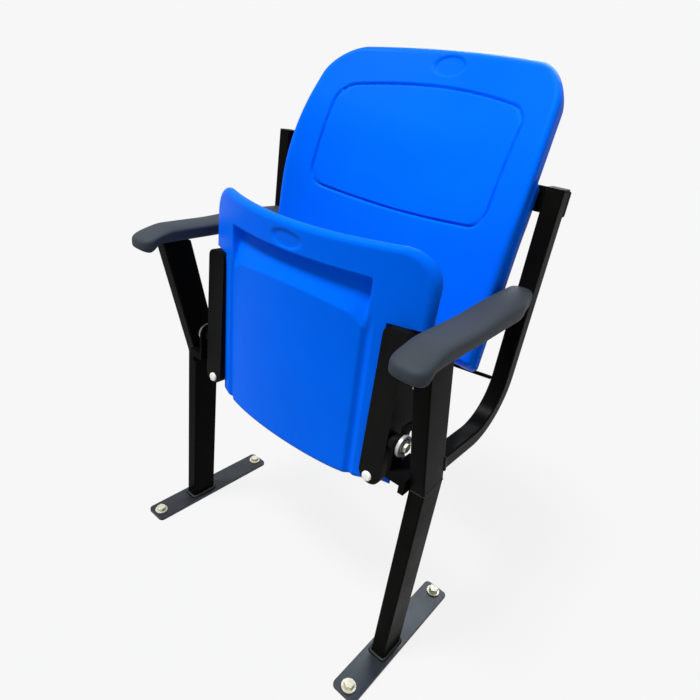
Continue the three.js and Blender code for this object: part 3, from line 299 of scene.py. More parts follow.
class ShellSettings(bpy.types.PropertyGroup):
    """The moulded backrest and seat."""
    colour: FloatVectorProperty(
        name="Shell colour", description="Colour of the moulded plastic",
        subtype="COLOR", size=3, min=0, max=1, default=(0.0, 0.124, 0.86))
    groove_width: FloatProperty(
        name="Groove width", description="Width of the moulded groove on the backrest",
        unit="LENGTH", subtype="DISTANCE", default=6.6 * MM)
    groove_depth: FloatProperty(
        name="Groove depth", description="Depth of the moulded groove on the backrest",
        unit="LENGTH", subtype="DISTANCE", default=3.4 * MM)
    pad_width: FloatProperty(
        name="Number pad width", description="Width of the oval pad for a seat number",
        unit="LENGTH", subtype="DISTANCE", default=60 * MM)
    pad_height: FloatProperty(
        name="Number pad height", description="Height of the oval pad for a seat number",
        unit="LENGTH", subtype="DISTANCE", default=33 * MM)
    pad_depth: FloatProperty(
        name="Number pad depth", description="How far the oval pad is sunk",
        unit="LENGTH", subtype="DISTANCE", default=2.5 * MM)


class MetalSettings(bpy.types.PropertyGroup):
    """The painted frame and its plated fasteners."""
    paint: FloatVectorProperty(
        name="Paint colour", description="Colour of the powder coat",
        subtype="COLOR", size=3, min=0, max=1, default=(0.0036, 0.0036, 0.0034))
    softness: FloatProperty(
        name="Edge softness", description="Rounding of the cut edges of plates and tubes",
        unit="LENGTH", subtype="DISTANCE", default=0.7 * MM)
    bead: FloatProperty(
        name="Weld bead", description="Half width of a weld bead",
        unit="LENGTH", subtype="DISTANCE", default=2.6 * MM)


class ArmrestSettings(bpy.types.PropertyGroup):
    """The moulded armrests."""
    colour: FloatVectorProperty(
        name="Armrest colour", description="Colour of the armrest plastic",
        subtype="COLOR", size=3, min=0, max=1, default=(0.0232, 0.0298, 0.0395))
    roundness: FloatProperty(
        name="Roundness", description="0 gives square corners and 1 an oval section",
        min=0.2, max=1, default=0.5)


class StageSettings(bpy.types.PropertyGroup):
    """The floor, the lamps and the camera."""
    floor_colour: FloatVectorProperty(
        name="Floor colour", description="Colour of the floor and the background",
        subtype="COLOR", size=3, min=0, max=1, default=(0.93, 0.93, 0.93))
    sky: FloatProperty(name="Sky", description="Strength of the even light", min=0, default=0.37)
    key: FloatProperty(
        name="Key light", description="Strength of the soft light from above", min=0, default=4.5)
    side: FloatProperty(
        name="Side lamp", description="Power of the side lamp in watts", min=0, default=4)
    rear: FloatProperty(
        name="Rear lamp", description="Power of the rear lamp in watts", min=0, default=24)


class Value:
    """A shader socket that adds Math nodes as it is used in sums."""

    def __init__(self, tree, socket):
        self.tree = tree
        self.socket = socket

    def math(self, operation, *operands):
        node = self.tree.nodes.new("ShaderNodeMath")
        node.operation = operation
        for place, operand in enumerate(operands):
            if isinstance(operand, Value):
                self.tree.links.new(operand.socket, node.inputs[place])
            else:
                node.inputs[place].default_value = operand
        return Value(self.tree, node.outputs[0])

    def __add__(self, other):
        return self.math("ADD", self, other)

    def __radd__(self, other):
        return self.math("ADD", other, self)

    def __sub__(self, other):
        return self.math("SUBTRACT", self, other)

    def __rsub__(self, other):
        return self.math("SUBTRACT", other, self)

    def __mul__(self, other):
        return self.math("MULTIPLY", self, other)

    def between(self, low, high):
        """0 below low, 1 above high, and an even rise in between."""
        return ((self - low) * (1 / (high - low))).clamped()

    def clamped(self):
        node = self.tree.nodes.new("ShaderNodeClamp")
        self.tree.links.new(self.socket, node.inputs[0])
        return Value(self.tree, node.outputs[0])


class Finish:
    """A material that is built up from nodes on the piece's own coordinates."""

    def __init__(self, name):
        self.material = bpy.data.materials.new(name)
        self.material.use_nodes = True
        self.tree = self.material.node_tree
        self.tree.nodes.clear()
        self.shader = self.tree.nodes.new("ShaderNodeBsdfPrincipled")
        output = self.tree.nodes.new("ShaderNodeOutputMaterial")
        self.tree.links.new(self.shader.outputs[0], output.inputs[0])
        self.coordinates = self.tree.nodes.new("ShaderNodeTexCoord").outputs["Object"]

    def node(self, kind, **sockets):
        """Adds a node, fills its sockets and gives its first output."""
        node = self.tree.nodes.new(kind)
        for name, value in sockets.items():
            self.fill(node.inputs[name.replace("_", " ")], value)
        return Value(self.tree, node.outputs[0])

    def fill(self, socket, value):
        if isinstance(value, Value):
            self.tree.links.new(value.socket, socket)
        elif hasattr(value, "is_output"):
            self.tree.links.new(value, socket)
        elif isinstance(value, (tuple, list)) and len(value) == 3 and socket.type == "RGBA":
            socket.default_value = (*value, 1)
        else:
            socket.default_value = value

    def stretched(self, x, y, z, turn=(0, 0, 0)):
        """The piece's coordinates, stretched along each axis and turned."""
        return self.node("ShaderNodeMapping", Vector=self.coordinates, Scale=(x, y, z), Rotation=turn)

    def noise(self, scale, detail=2.0, roughness=0.5, vector=None):
        return self.node(
            "ShaderNodeTexNoise", Vector=vector or self.coordinates,
            Scale=scale, Detail=detail, Roughness=roughness)

    def cells(self, scale):
        return self.node("ShaderNodeTexVoronoi", Vector=self.coordinates, Scale=scale)

    def mixed(self, factor, first, second):
        """Goes from the first colour to the second as factor goes from 0 to 1."""
        node = self.tree.nodes.new("ShaderNodeMix")
        node.data_type = "RGBA"
        self.fill(node.inputs[0], factor)
        self.fill(node.inputs[6], first)
        self.fill(node.inputs[7], second)
        return Value(self.tree, node.outputs[2])

    def bumps(self, height, strength, distance):
        return self.node("ShaderNodeBump", Height=height, Strength=strength, Distance=distance)

    def use(self, **sockets):
        for name, value in sockets.items():
            self.fill(self.shader.inputs[name.replace("_", " ")], value)
        return self.material


def shade(colour, factor):
    """A colour made darker or lighter by a factor."""
    return tuple(min(1.0, channel * factor) for channel in colour)


def shell_plastic(colour):
    """Blow-moulded plastic: satin, with a fine cast texture, faint flow marks and a few light scuffs."""
    finish = Finish("blue_shell_plastic")
    cloud = finish.noise(7, 3)
    grain = finish.noise(950, 2, 0.6)
    ripple = finish.noise(26, 2)
    scuff_line = finish.noise(60, 4, 0.7, finish.stretched(1, 6, 0.5, (0.3, 0.9, 0.2)))
    scuffs = scuff_line.between(0.66, 0.74) * finish.noise(9, 1).between(0.5, 0.62)
    base = finish.mixed(cloud.between(0.3, 0.7), shade(colour, 0.95), shade(colour, 1.05))
    pale = (colour[0] + 0.01, colour[1] + 0.04, min(1.0, colour[2] * 1.02))
    return finish.use(
        Base_Color=finish.mixed(scuffs * 0.35, base, pale),
        Roughness=0.37 + cloud * 0.08 + grain * 0.05 + scuffs * 0.1,
        Normal=finish.bumps(grain * 0.35 + ripple * 0.65, 0.16, 0.0006),
        Specular_IOR_Level=0.045,
        Specular_Tint=(0.0, 0.5, 1.0, 1.0),
    )


def powder_coat(colour):
    """Semi-gloss black powder coat: orange peel, dust that softens the gloss, and small rubbed spots."""
    finish = Finish("black_powder_coat")
    peel = finish.noise(420, 2, 0.55)
    dust = finish.noise(11, 4, 0.6)
    streaks = finish.noise(16, 3, 0.6, finish.stretched(3, 3, 0.4))
    rubbed = finish.noise(85, 3, 0.75).between(0.69, 0.73) * finish.noise(6, 1).between(0.52, 0.66)
    dusty = (0.008, 0.0078, 0.0062)
    base = finish.mixed(dust.between(0.42, 0.78) * 0.55, colour, dusty)
    return finish.use(
        Base_Color=finish.mixed(rubbed * 0.4, base, (0.045, 0.042, 0.036)),
        Roughness=0.2 + dust.between(0.3, 0.8) * 0.2 + streaks * 0.06,
        Normal=finish.bumps(peel * 0.6 + streaks * 0.4, 0.3, 0.0004),
        Specular_IOR_Level=0.012,
    )


def floor_plate_coat(colour):
    """The same black coat, painted a lighter bluish slate grey that stands for the sky's sheen, blotched
    by trodden dust and wiped darker in patches; a broad real sheen comes from its specular.
    """
    finish = Finish("floor_plate_painted_sheen")
    dust = finish.noise(38, 5, 0.65)
    grit = finish.noise(700, 3, 0.7)
    wiped = finish.noise(14, 3, 0.6, finish.stretched(2.5, 0.6, 1))
    # The lighter bluish slate tone is painted sky sheen; the noise only blotches it like dust
    painted_sheen_tone = finish.mixed(dust.between(0.35, 0.7), (0.008, 0.011, 0.017), (0.015, 0.019, 0.025))
    return finish.use(
        Base_Color=finish.mixed(wiped.between(0.45, 0.8) * 0.6, painted_sheen_tone, shade(colour, 2)),
        Roughness=0.3 + dust * 0.16 + grit * 0.06,
        Normal=finish.bumps(grit, 0.22, 0.0004),
        Specular_IOR_Level=0.3,
    )


def armrest_plastic(colour):
    """Matte moulded plastic with a pebbled grain and an uneven sheen."""
    finish = Finish("armrest_plastic")
    pebbles = finish.cells(620)
    cloud = finish.noise(13, 3)
    fine = finish.noise(1400, 2)
    base = finish.mixed(cloud.between(0.3, 0.72), shade(colour, 0.86), shade(colour, 1.12))
    return finish.use(
        Base_Color=base,
        Roughness=0.56 + cloud * 0.12 + fine * 0.06,
        Normal=finish.bumps(pebbles * 0.7 + fine * 0.3, 0.3, 0.0005),
        Specular_IOR_Level=0.2,
    )


def cover_plastic():
    """Dull black moulded plastic with fine speckle and moulding swirls."""
    finish = Finish("black_cover_plastic")
    speckle = finish.noise(900, 2, 0.6)
    swirl = finish.noise(18, 4, 0.6, finish.stretched(1, 1, 0.35))
    base = finish.mixed(swirl.between(0.35, 0.7), (0.0038, 0.0042, 0.004), (0.0068, 0.0072, 0.0062))
    return finish.use(
        Base_Color=base,
        Roughness=0.42 + swirl * 0.14,
        Normal=finish.bumps(speckle, 0.22, 0.0004),
        Specular_IOR_Level=0.03,
    )


def zinc_plate():
    """Bright zinc with a faint yellow passivate, fine tumbling marks and dull patches."""
    finish = Finish("zinc_plate")
    patches = finish.noise(150, 3, 0.6)
    marks = finish.noise(1200, 2, 0.6, finish.stretched(1, 1, 3))
    base = finish.mixed(patches.between(0.35, 0.7), (0.54, 0.52, 0.42), (0.4, 0.375, 0.28))
    return finish.use(
        Base_Color=base,
        Metallic=0.78 - patches * 0.2,
        Roughness=0.36 + patches * 0.2 + marks * 0.1,
        Normal=finish.bumps(marks, 0.2, 0.0003),
    )


def bearing_washer():
    """Grey metal of the pivot washers and bushes, with grease stains."""
    finish = Finish("pivot_washer_grey")
    stain = finish.noise(120, 4, 0.65)
    fine = finish.noise(900, 2)
    base = finish.mixed(stain.between(0.45, 0.75), (0.42, 0.41, 0.43), (0.16, 0.15, 0.16))
    return finish.use(
        Base_Color=base,
        Metallic=0.25 + stain * 0.2,
        Roughness=0.34 + stain * 0.25,
        Normal=finish.bumps(fine, 0.2, 0.0003),
    )


def cap_plastic():
    """Glossy white snap cap, slightly soiled."""
    finish = Finish("white_cap_plastic")
    soil = finish.noise(220, 3, 0.6)
    return finish.use(
        Base_Color=finish.mixed(soil.between(0.55, 0.85) * 0.6, (0.83, 0.82, 0.79), (0.6, 0.58, 0.52)),
        Roughness=0.24 + soil * 0.14,
        Normal=finish.bumps(soil, 0.08, 0.0003),
    )


def oiled_steel():
    """Dark oiled spring steel with drawing lines."""
    finish = Finish("oiled_spring_steel")
    oil = finish.noise(90, 3)
    lines = finish.noise(700, 2, 0.6, finish.stretched(0.3, 1, 1))
    return finish.use(
        Base_Color=finish.mixed(oil.between(0.35, 0.7), (0.07, 0.068, 0.064), (0.16, 0.155, 0.15)),
        Metallic=0.8 + oil * 0.15,
        Roughness=0.25 + oil * 0.15,
        Normal=finish.bumps(lines, 0.2, 0.0003),
    )


def weld_steel():
    """Painted weld bead: the same black coat, rougher and duller."""
    finish = Finish("painted_weld")
    crust = finish.noise(500, 4, 0.7)
    patches = finish.noise(60, 2)
    return finish.use(
        Base_Color=finish.mixed(patches.between(0.4, 0.7), (0.006, 0.006, 0.0055), (0.014, 0.013, 0.01)),
        Roughness=0.34 + crust * 0.2,
        Normal=finish.bumps(crust, 0.5, 0.0008),
        Specular_IOR_Level=0.25,
    )


finishes = {}


def finish_of(name):
    """One material of each kind, made when a piece first needs it."""
    scene = bpy.context.scene
    makers = {
        "shell": lambda: shell_plastic(tuple(scene.seat_shells.colour)),
        "frame": lambda: powder_coat(tuple(scene.seat_metal.paint)),
        "plate": lambda: floor_plate_coat(tuple(scene.seat_metal.paint)),
        "arm": lambda: armrest_plastic(tuple(scene.seat_arms.colour)),
        "cover": cover_plastic,
        "zinc": zinc_plate,
        "nylon": bearing_washer,
        "cap": cap_plastic,
        "spring": oiled_steel,
        "weld": weld_steel,
    }
    if name not in finishes:
        finishes[name] = makers[name]()
    return finishes[name]


def deselect_all():
    if bpy.context.object and bpy.context.object.mode != "OBJECT":
        bpy.ops.object.mode_set(mode="OBJECT")
    bpy.ops.object.select_all(action="DESELECT")


def make_active(obj):
    deselect_all()
    obj.select_set(True)
    bpy.context.view_layer.objects.active = obj


def edit(obj):
    """Edit mode with every part of the mesh selected."""
    make_active(obj)
    bpy.ops.object.mode_set(mode="EDIT")
    bpy.ops.mesh.select_all(action="SELECT")


def done_editing():
    bpy.ops.object.mode_set(mode="OBJECT")


def modify(obj, kind, **settings):
    """Adds a modifier, sets it and applies it."""
    make_active(obj)
    modifier = obj.modifiers.new(kind.lower(), kind)
    for name, setting in settings.items():
        setattr(modifier, name, setting)
    bpy.ops.object.modifier_apply(modifier=modifier.name)


def smooth_by(obj, degrees):
    """Shades a mesh smooth across joints flatter than the angle."""
    make_active(obj)
    bpy.ops.object.shade_smooth_by_angle(angle=math.radians(degrees))


def close_and_face_out(obj):
    """Joins the seams of a mesh and turns its faces outward."""
    edit(obj)
    bpy.ops.mesh.remove_doubles(threshold=MERGE_DISTANCE)
    bpy.ops.mesh.select_all(action="SELECT")
    bpy.ops.mesh.normals_make_consistent(inside=False)
    done_editing()


def hand_over(obj, name, body, finish, nodes=()):
    """Names a finished piece, gives it its material, ties it to its body and hides the nodes it stands in
    for.
    """
    obj.name = name
    obj.data.name = name
    obj.data.materials.clear()
    obj.data.materials.append(finish_of(finish))
    for polygon in obj.data.polygons:
        polygon.material_index = 0
    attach(obj, body)
    if nodes:
        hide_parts(*nodes)
    return obj


def body_name(node):
    for name, nodes in frame["record"]["behaviour"]["bodies"].items():
        if node in nodes:
            return name
    raise ValueError(f"no body holds {node}")


def slot_name(node):
    for part in frame["record"]["subparts"]:
        if part["node"] == node:
            return part["material_slot"]
    raise ValueError(f"no material slot for {node}")


def copy_of(node):
    """A free copy of a frame node with its loose triangles merged and its flat faces whole."""
    source = frame["nodes"][node]
    mesh = source.data.copy()
    obj = bpy.data.objects.new(node + "_copy", mesh)
    bpy.context.scene.collection.objects.link(obj)
    edit(obj)
    bpy.ops.mesh.remove_doubles(threshold=COPY_MERGE_DISTANCE)
    bpy.ops.mesh.select_all(action="SELECT")
    bpy.ops.mesh.dissolve_limited(angle_limit=FLAT_ANGLE)
    done_editing()
    return obj


def refine(node, softness, finish=None, segments=2, sharp=EDGE_ANGLE):
    """Stands a copy with rounded edges in for a frame node."""
    obj = copy_of(node)
    if softness:
        modify(
            obj, "BEVEL", width=softness, segments=segments, limit_method="ANGLE",
            angle_limit=math.radians(sharp), use_clamp_overlap=True)
    smooth_by(obj, sharp)
    modify(obj, "WEIGHTED_NORMAL", keep_sharp=True, weight=FLAT_FACE_WEIGHT)
    slot = slot_name(node)
    return hand_over(obj, node + "_dressed", body_name(node), finish or slot, [node])


def rim_fill(distance, rim, squareness=2):
    """How full a rounded rim is at a distance in from its edge, from 0 to 1."""
    inward = np.clip(distance / rim, 0, 1)
    return (1 - (1 - inward) ** squareness) ** (1 / squareness)


def smoothstep(value, low, high):
    """An eased rise from 0 at low to 1 at high."""
    share = np.clip((value - low) / (high - low), 0, 1)
    return share * share * (3 - 2 * share)


def inside_rounded(x, y, half_x, half_y, radius):
    """Distance in from a rounded rectangle's outline, negative outside it."""
    past_x = np.abs(x) - (half_x - radius)
    past_y = np.abs(y) - (half_y - radius)
    corner = np.hypot(np.maximum(past_x, 0), np.maximum(past_y, 0))
    return radius - corner - np.minimum(np.maximum(past_x, past_y), 0)


def places(*stretches):
    """Even steps from place to place, each stretch given as its end and its step, in millimetres."""
    line = [stretches[0]]
    for end, step in stretches[1:]:
        count = max(1, round(abs(end - line[-1]) / step))
        line += list(np.linspace(line[-1], end, count + 1)[1:])
    return np.array(line) * MM


def slab(columns, rows, levels):
    """A slab: a grid that is extruded level by level. Gives each point's column, row and level too."""
    deselect_all()
    bpy.ops.mesh.primitive_grid_add(x_subdivisions=columns - 1, y_subdivisions=rows - 1, size=2)
    obj = bpy.context.object
    bpy.ops.object.mode_set(mode="EDIT")
    bpy.ops.mesh.select_all(action="SELECT")
    for _ in range(levels):
        bpy.ops.mesh.extrude_region_move(TRANSFORM_OT_translate={"value": (0, 0, 1)})
    done_editing()
    points = np.empty(len(obj.data.vertices) * 3)
    obj.data.vertices.foreach_get("co", points)
    points = points.reshape(-1, 3)
    column = np.rint((points[:, 0] + 1) / 2 * (columns - 1)).astype(int)
    row = np.rint((points[:, 1] + 1) / 2 * (rows - 1)).astype(int)
    level = np.rint(points[:, 2]).astype(int)
    return obj, column, row, level


def set_points(obj, x, y, z):
    """Moves every point of a mesh to its place in the drawing."""
    points = np.stack([x + DRAWN.x, y + DRAWN.y, z + DRAWN.z], axis=1)
    obj.data.vertices.foreach_set("co", points.ravel())
    obj.data.update()


def line_groove(distance, width, depth):
    """Depth of a round-bottomed groove at a distance from its middle line."""
    return depth * np.cos(np.clip(np.abs(distance) / (width / 2), 0, 1) * math.pi / 2) ** 2


def sunk_oval(x, y, width, height, depth, wall):
    """Depth of a flat oval recess with soft walls."""
    size = np.hypot(x / (width / 2), y / (height / 2))
    away = (size - 1) * height / 2
    return depth * (1 - smoothstep(away, -wall, 0))


def back_half_width(along):
    """Half the backrest's width at a height along it, before and after its corners are rounded."""
    top = np.maximum(0, along - (BACK_LENGTH - BACK_TOP_CORNER))
    bottom = np.maximum(0, BACK_BOTTOM_CORNER - along)
    above = np.maximum(0, along - BACK_WIDEST_PLACE) / (BACK_LENGTH - BACK_WIDEST_PLACE)
    below = np.maximum(0, BACK_WIDEST_PLACE - along) / BACK_WIDEST_PLACE
    straight = BACK_HALF_WIDTH - BACK_TOP_TAPER * above ** 2 - BACK_LOWER_TAPER * below
    top_round = BACK_TOP_CORNER - np.sqrt(np.maximum(0, BACK_TOP_CORNER ** 2 - top ** 2))
    bottom_round = BACK_BOTTOM_CORNER - np.sqrt(np.maximum(0, BACK_BOTTOM_CORNER ** 2 - bottom ** 2))
    return straight, straight - top_round - bottom_round


def back_profile(along):
    """A point of the side edge in the side view, and how far it leans there."""
    bend = np.clip(along - BACK_STRAIGHT, 0, BACK_BEND)
    turn = BACK_UPPER_LEAN - BACK_LOWER_LEAN
    lean = BACK_LOWER_LEAN + turn * bend / BACK_BEND
    radius = BACK_BEND / turn
    below = np.minimum(along, BACK_STRAIGHT)
    above = np.maximum(0, along - BACK_STRAIGHT - BACK_BEND)
    y = (BACK_BASE_Y + below * math.sin(BACK_LOWER_LEAN)
         + radius * (math.cos(BACK_LOWER_LEAN) - np.cos(lean)) + above * math.sin(BACK_UPPER_LEAN))
    z = (BACK_BASE_Z + below * math.cos(BACK_LOWER_LEAN)
         + radius * (np.sin(lean) - math.sin(BACK_LOWER_LEAN)) + above * math.cos(BACK_UPPER_LEAN))
    return y, z, lean


def model_backrest(settings):
    """The backrest: a hollowed, bent slab with a rim, rear side flanges, a groove and an oval pad."""
    from_side = places(0, *BACK_SIDE_STRETCHES)
    rows = places(0, *BACK_ROW_STRETCHES)
    shares = 1 - from_side / BACK_HALF_WIDTH
    shares = np.concatenate([-shares, shares[:-1][::-1]])
    wall = np.array(BACK_WALL_SHARES)
    obj, column, row, level = slab(len(shares), len(rows), len(wall) - 1)
    along = rows[row]
    straight, half_width = back_half_width(along)
    side = shares[column]
    x = side * half_width
    inward = straight - np.abs(x)
    corner = np.where(along > BACK_LENGTH / 2, BACK_TOP_CORNER, BACK_BOTTOM_CORNER)
    to_edge = inside_rounded(x, along - BACK_LENGTH / 2, straight, BACK_LENGTH / 2, corner)
    to_edge = np.maximum(0, to_edge)
    front = BACK_RIM * (1 - rim_fill(to_edge, BACK_RIM))
    flange_up = 1 - smoothstep(along, BACK_FLANGE_LENGTH - BACK_FLANGE_BLEND, BACK_FLANGE_LENGTH)
    edge_up = 1 - smoothstep(along, BACK_LENGTH - BACK_TOP_CORNER, BACK_LENGTH - BACK_RIM)
    flange_in = 1 - smoothstep(inward, BACK_FLANGE_WIDTH - BACK_RIM / 2, BACK_FLANGE_WIDTH)
    thickness = BACK_THICKNESS + (BACK_EDGE_DEPTH * edge_up + BACK_FLANGE_DEPTH * flange_up) * flange_in
    rear = thickness - BACK_REAR_RIM * (1 - rim_fill(to_edge, BACK_REAR_RIM))
    bow = (x / GROOVE_HALF_WIDTH) ** 2
    low = GROOVE_LOW + GROOVE_LOW_BOW * bow
    high = GROOVE_HIGH - GROOVE_HIGH_BOW * bow
    groove = inside_rounded(
        x, along - (low + high) / 2, GROOVE_HALF_WIDTH, (high - low) / 2, GROOVE_CORNER)
    marks = line_groove(groove, settings.groove_width, settings.groove_depth)
    marks += sunk_oval(
        x, along - PAD_ALONG, settings.pad_width, settings.pad_height, settings.pad_depth, PAD_WALL)
    front = front + marks
    depth = np.where(level == 0, front, front + (rear - front) * wall[level])
    full_depth = BACK_THICKNESS + BACK_EDGE_DEPTH + BACK_FLANGE_DEPTH
    on_wall = (level > 0) & (level < len(wall) - 1) & (np.abs(side) > 0.999)
    beside_flange = 1 - smoothstep(
        along, BACK_FLANGE_LENGTH - BACK_SWELL_TOP, BACK_FLANGE_LENGTH + BACK_SWELL_PAST_TOP)
    seam = line_groove(depth - BACK_SEAM_DEPTH, BACK_SEAM_WIDTH, BACK_SEAM_SINK)
    seam = seam * smoothstep(along, BACK_SEAM_START, BACK_SEAM_FULL)
    swell = BACK_SWELL * smoothstep(depth, BACK_SEAM_DEPTH, BACK_SEAM_DEPTH + BACK_SWELL_RAMP)
    swell *= 1 - smoothstep(depth, full_depth - BACK_SWELL_END, full_depth)
    shown_x = np.where(on_wall, x + np.sign(x) * (swell - seam) * beside_flange, x)
    across = 1 - (x / BACK_HALF_WIDTH) ** 2
    stretched = along + across * (BACK_CROWN * along - BACK_FOOT * (BACK_LENGTH - along)) / BACK_LENGTH
    foot = 1 - smoothstep(along, 0, BACK_FOOT_SLANT * 2)
    raised = stretched + BACK_FOOT_SLANT * foot * (1 - depth / full_depth)
    y, z, lean = back_profile(np.maximum(0, raised))
    rise = smoothstep(along, BACK_FOOT_SLANT * 2, BACK_HOLLOW_REACH)
    reach = depth + (BACK_LOW_HOLLOW + (BACK_HIGH_HOLLOW - BACK_LOW_HOLLOW) * rise) * across
    place_y = y + reach * np.cos(lean)
    place_z = z + np.minimum(0, raised) - reach * np.sin(lean)
    beside_bracket = smoothstep(np.abs(x), BRACKET_INNER_EDGE - BRACKET_RAMP, BRACKET_INNER_EDGE)
    off_bracket = smoothstep(
        np.abs(place_z - BRACKET_MIDDLE), BRACKET_HALF_HEIGHT, BRACKET_HALF_HEIGHT + BRACKET_RAMP)
    place_y -= np.maximum(0, place_y - BRACKET_FRONT) * beside_bracket * (1 - off_bracket)
    set_points(obj, shown_x, place_y, place_z)
    close_and_face_out(obj)
    smooth_by(obj, BACK_SMOOTH_ANGLE)
    return obj


def seat_rear(x, z):
    """How far back the seat's rear lies: it is hollowed across, more so near its front edge."""
    hollow = SEAT_LOW_HOLLOW + (SEAT_HIGH_HOLLOW - SEAT_LOW_HOLLOW) * (z - SEAT_BOTTOM) / SEAT_LENGTH
    return SEAT_REAR - hollow * (1 - (x / SEAT_HALF_WIDTH) ** 2)


def model_seat(settings):
    """The tipped-up seat: a hollowed slab with a finger pocket, two valleys, a pad and side lips."""
    out = places(0, *SEAT_OUT_STRETCHES)
    rows = places(SEAT_ROW_START, *SEAT_ROW_STRETCHES)
    columns = np.concatenate([-out[:0:-1], out])
    obj, column, row, level = slab(len(columns), len(rows), SEAT_LEVELS)
    place = columns[column]
    z = rows[row]
    size = np.abs(place)
    above = z > LIP_TOP
    corner = np.maximum(0, z - (SEAT_TOP - SEAT_TOP_CORNER))
    rounded = SEAT_TOP_CORNER - np.sqrt(np.maximum(0, SEAT_TOP_CORNER ** 2 - corner ** 2))
    half_width = np.where(above, SEAT_HALF_WIDTH, LIP_HALF_WIDTH) - rounded
    outward = np.maximum(0, size - POCKET_HALF_WIDTH) / (SEAT_HALF_WIDTH - POCKET_HALF_WIDTH)
    upper_x = np.minimum(size, POCKET_HALF_WIDTH) + outward * (half_width - POCKET_HALF_WIDTH)
    lip_share = (size - BOX_HALF_WIDTH) / (SEAT_HALF_WIDTH - BOX_HALF_WIDTH)
    lip_x = BOX_HALF_WIDTH + lip_share * (LIP_HALF_WIDTH - BOX_HALF_WIDTH)
    in_lip = ~above & (size > BOX_HALF_WIDTH + MERGE_DISTANCE)
    x_size = np.where(above, upper_x, np.where(in_lip, lip_x, size))
    x = np.sign(place) * x_size
    across = 1 - (x / SEAT_HALF_WIDTH) ** 2
    side_share = np.minimum(1, x_size / BOX_HALF_WIDTH)
    lift = SEAT_SIDE_LIFT * side_share ** SEAT_SIDE_POWER * (1 - smoothstep(z, SEAT_BOTTOM, PIVOT_Z))
    dip = SEAT_TOP_DIP * across * smoothstep(z, POCKET_TOP, SEAT_TOP)
    rim = np.where(in_lip, SEAT_LIP, SEAT_RIM)
    to_top = np.maximum(0, inside_rounded(
        x, z - SEAT_TOP + SEAT_LENGTH, SEAT_HALF_WIDTH, SEAT_LENGTH, SEAT_TOP_CORNER))
    to_side = np.where(above, to_top, half_width - x_size)
    edge = np.minimum(rim_fill(to_side, rim), rim_fill(z - SEAT_BOTTOM, rim))
    edge = np.maximum(edge, SEAT_LEAST_EDGE_SHARE)
    fillet = POCKET_FILLET * smoothstep(x_size, POCKET_HALF_WIDTH - POCKET_FILLET * 2, POCKET_HALF_WIDTH)
    pocket_height = POCKET_SIDE + (POCKET_CENTRE - POCKET_SIDE) * across + fillet
    rise = np.clip(POCKET_RAMP_SHARE - POCKET_RAMP_SHARE * (POCKET_TOP - z) / pocket_height, 0, 1)
    in_pocket = 1 - smoothstep(x_size, POCKET_HALF_WIDTH - POCKET_WALL, POCKET_HALF_WIDTH)
    in_pocket = in_pocket * (
        1 - smoothstep(z, POCKET_TOP - POCKET_EDGE_BELOW, POCKET_TOP + POCKET_EDGE_ABOVE))
    valley_top = 1 - smoothstep(z, POCKET_TOP - POCKET_SIDE, POCKET_TOP - POCKET_CENTRE)
    valley = line_groove(x_size - POCKET_HALF_WIDTH, VALLEY_WIDTH, VALLEY_DEPTH) * valley_top
    pad_depth = settings.pad_depth * SEAT_PAD_DEPTH_SHARE
    pad = sunk_oval(x, z - SEAT_PAD_Z, settings.pad_width, settings.pad_height, pad_depth, PAD_WALL)
    sunk = np.where(in_lip, 0, POCKET_DEPTH * rise * in_pocket + valley + pad)
    thickness = np.where(in_lip, SEAT_LIP, SEAT_THICKNESS)
    rear = seat_rear(x, z)
    front_y = rear - thickness * (0.5 + edge / 2) + sunk
    back_y = rear - thickness * (0.5 - edge / 2)
    y = front_y + (back_y - front_y) * level / SEAT_LEVELS
    set_points(obj, x, y, z + lift - dip)
    close_and_face_out(obj)
    smooth_by(obj, SEAT_SMOOTH_ANGLE)
    return obj


def tube_grid(around, sections):
    """A sheet with a row for each section, to be wrapped round. Gives each point's turn and section."""
    deselect_all()
    bpy.ops.mesh.primitive_grid_add(x_subdivisions=around, y_subdivisions=sections - 1, size=2)
    obj = bpy.context.object
    points = np.empty(len(obj.data.vertices) * 3)
    obj.data.vertices.foreach_get("co", points)
    points = points.reshape(-1, 3)
    turn = (points[:, 0] + 1) * math.pi
    section = np.rint((points[:, 1] + 1) / 2 * (sections - 1)).astype(int)
    return obj, turn, section


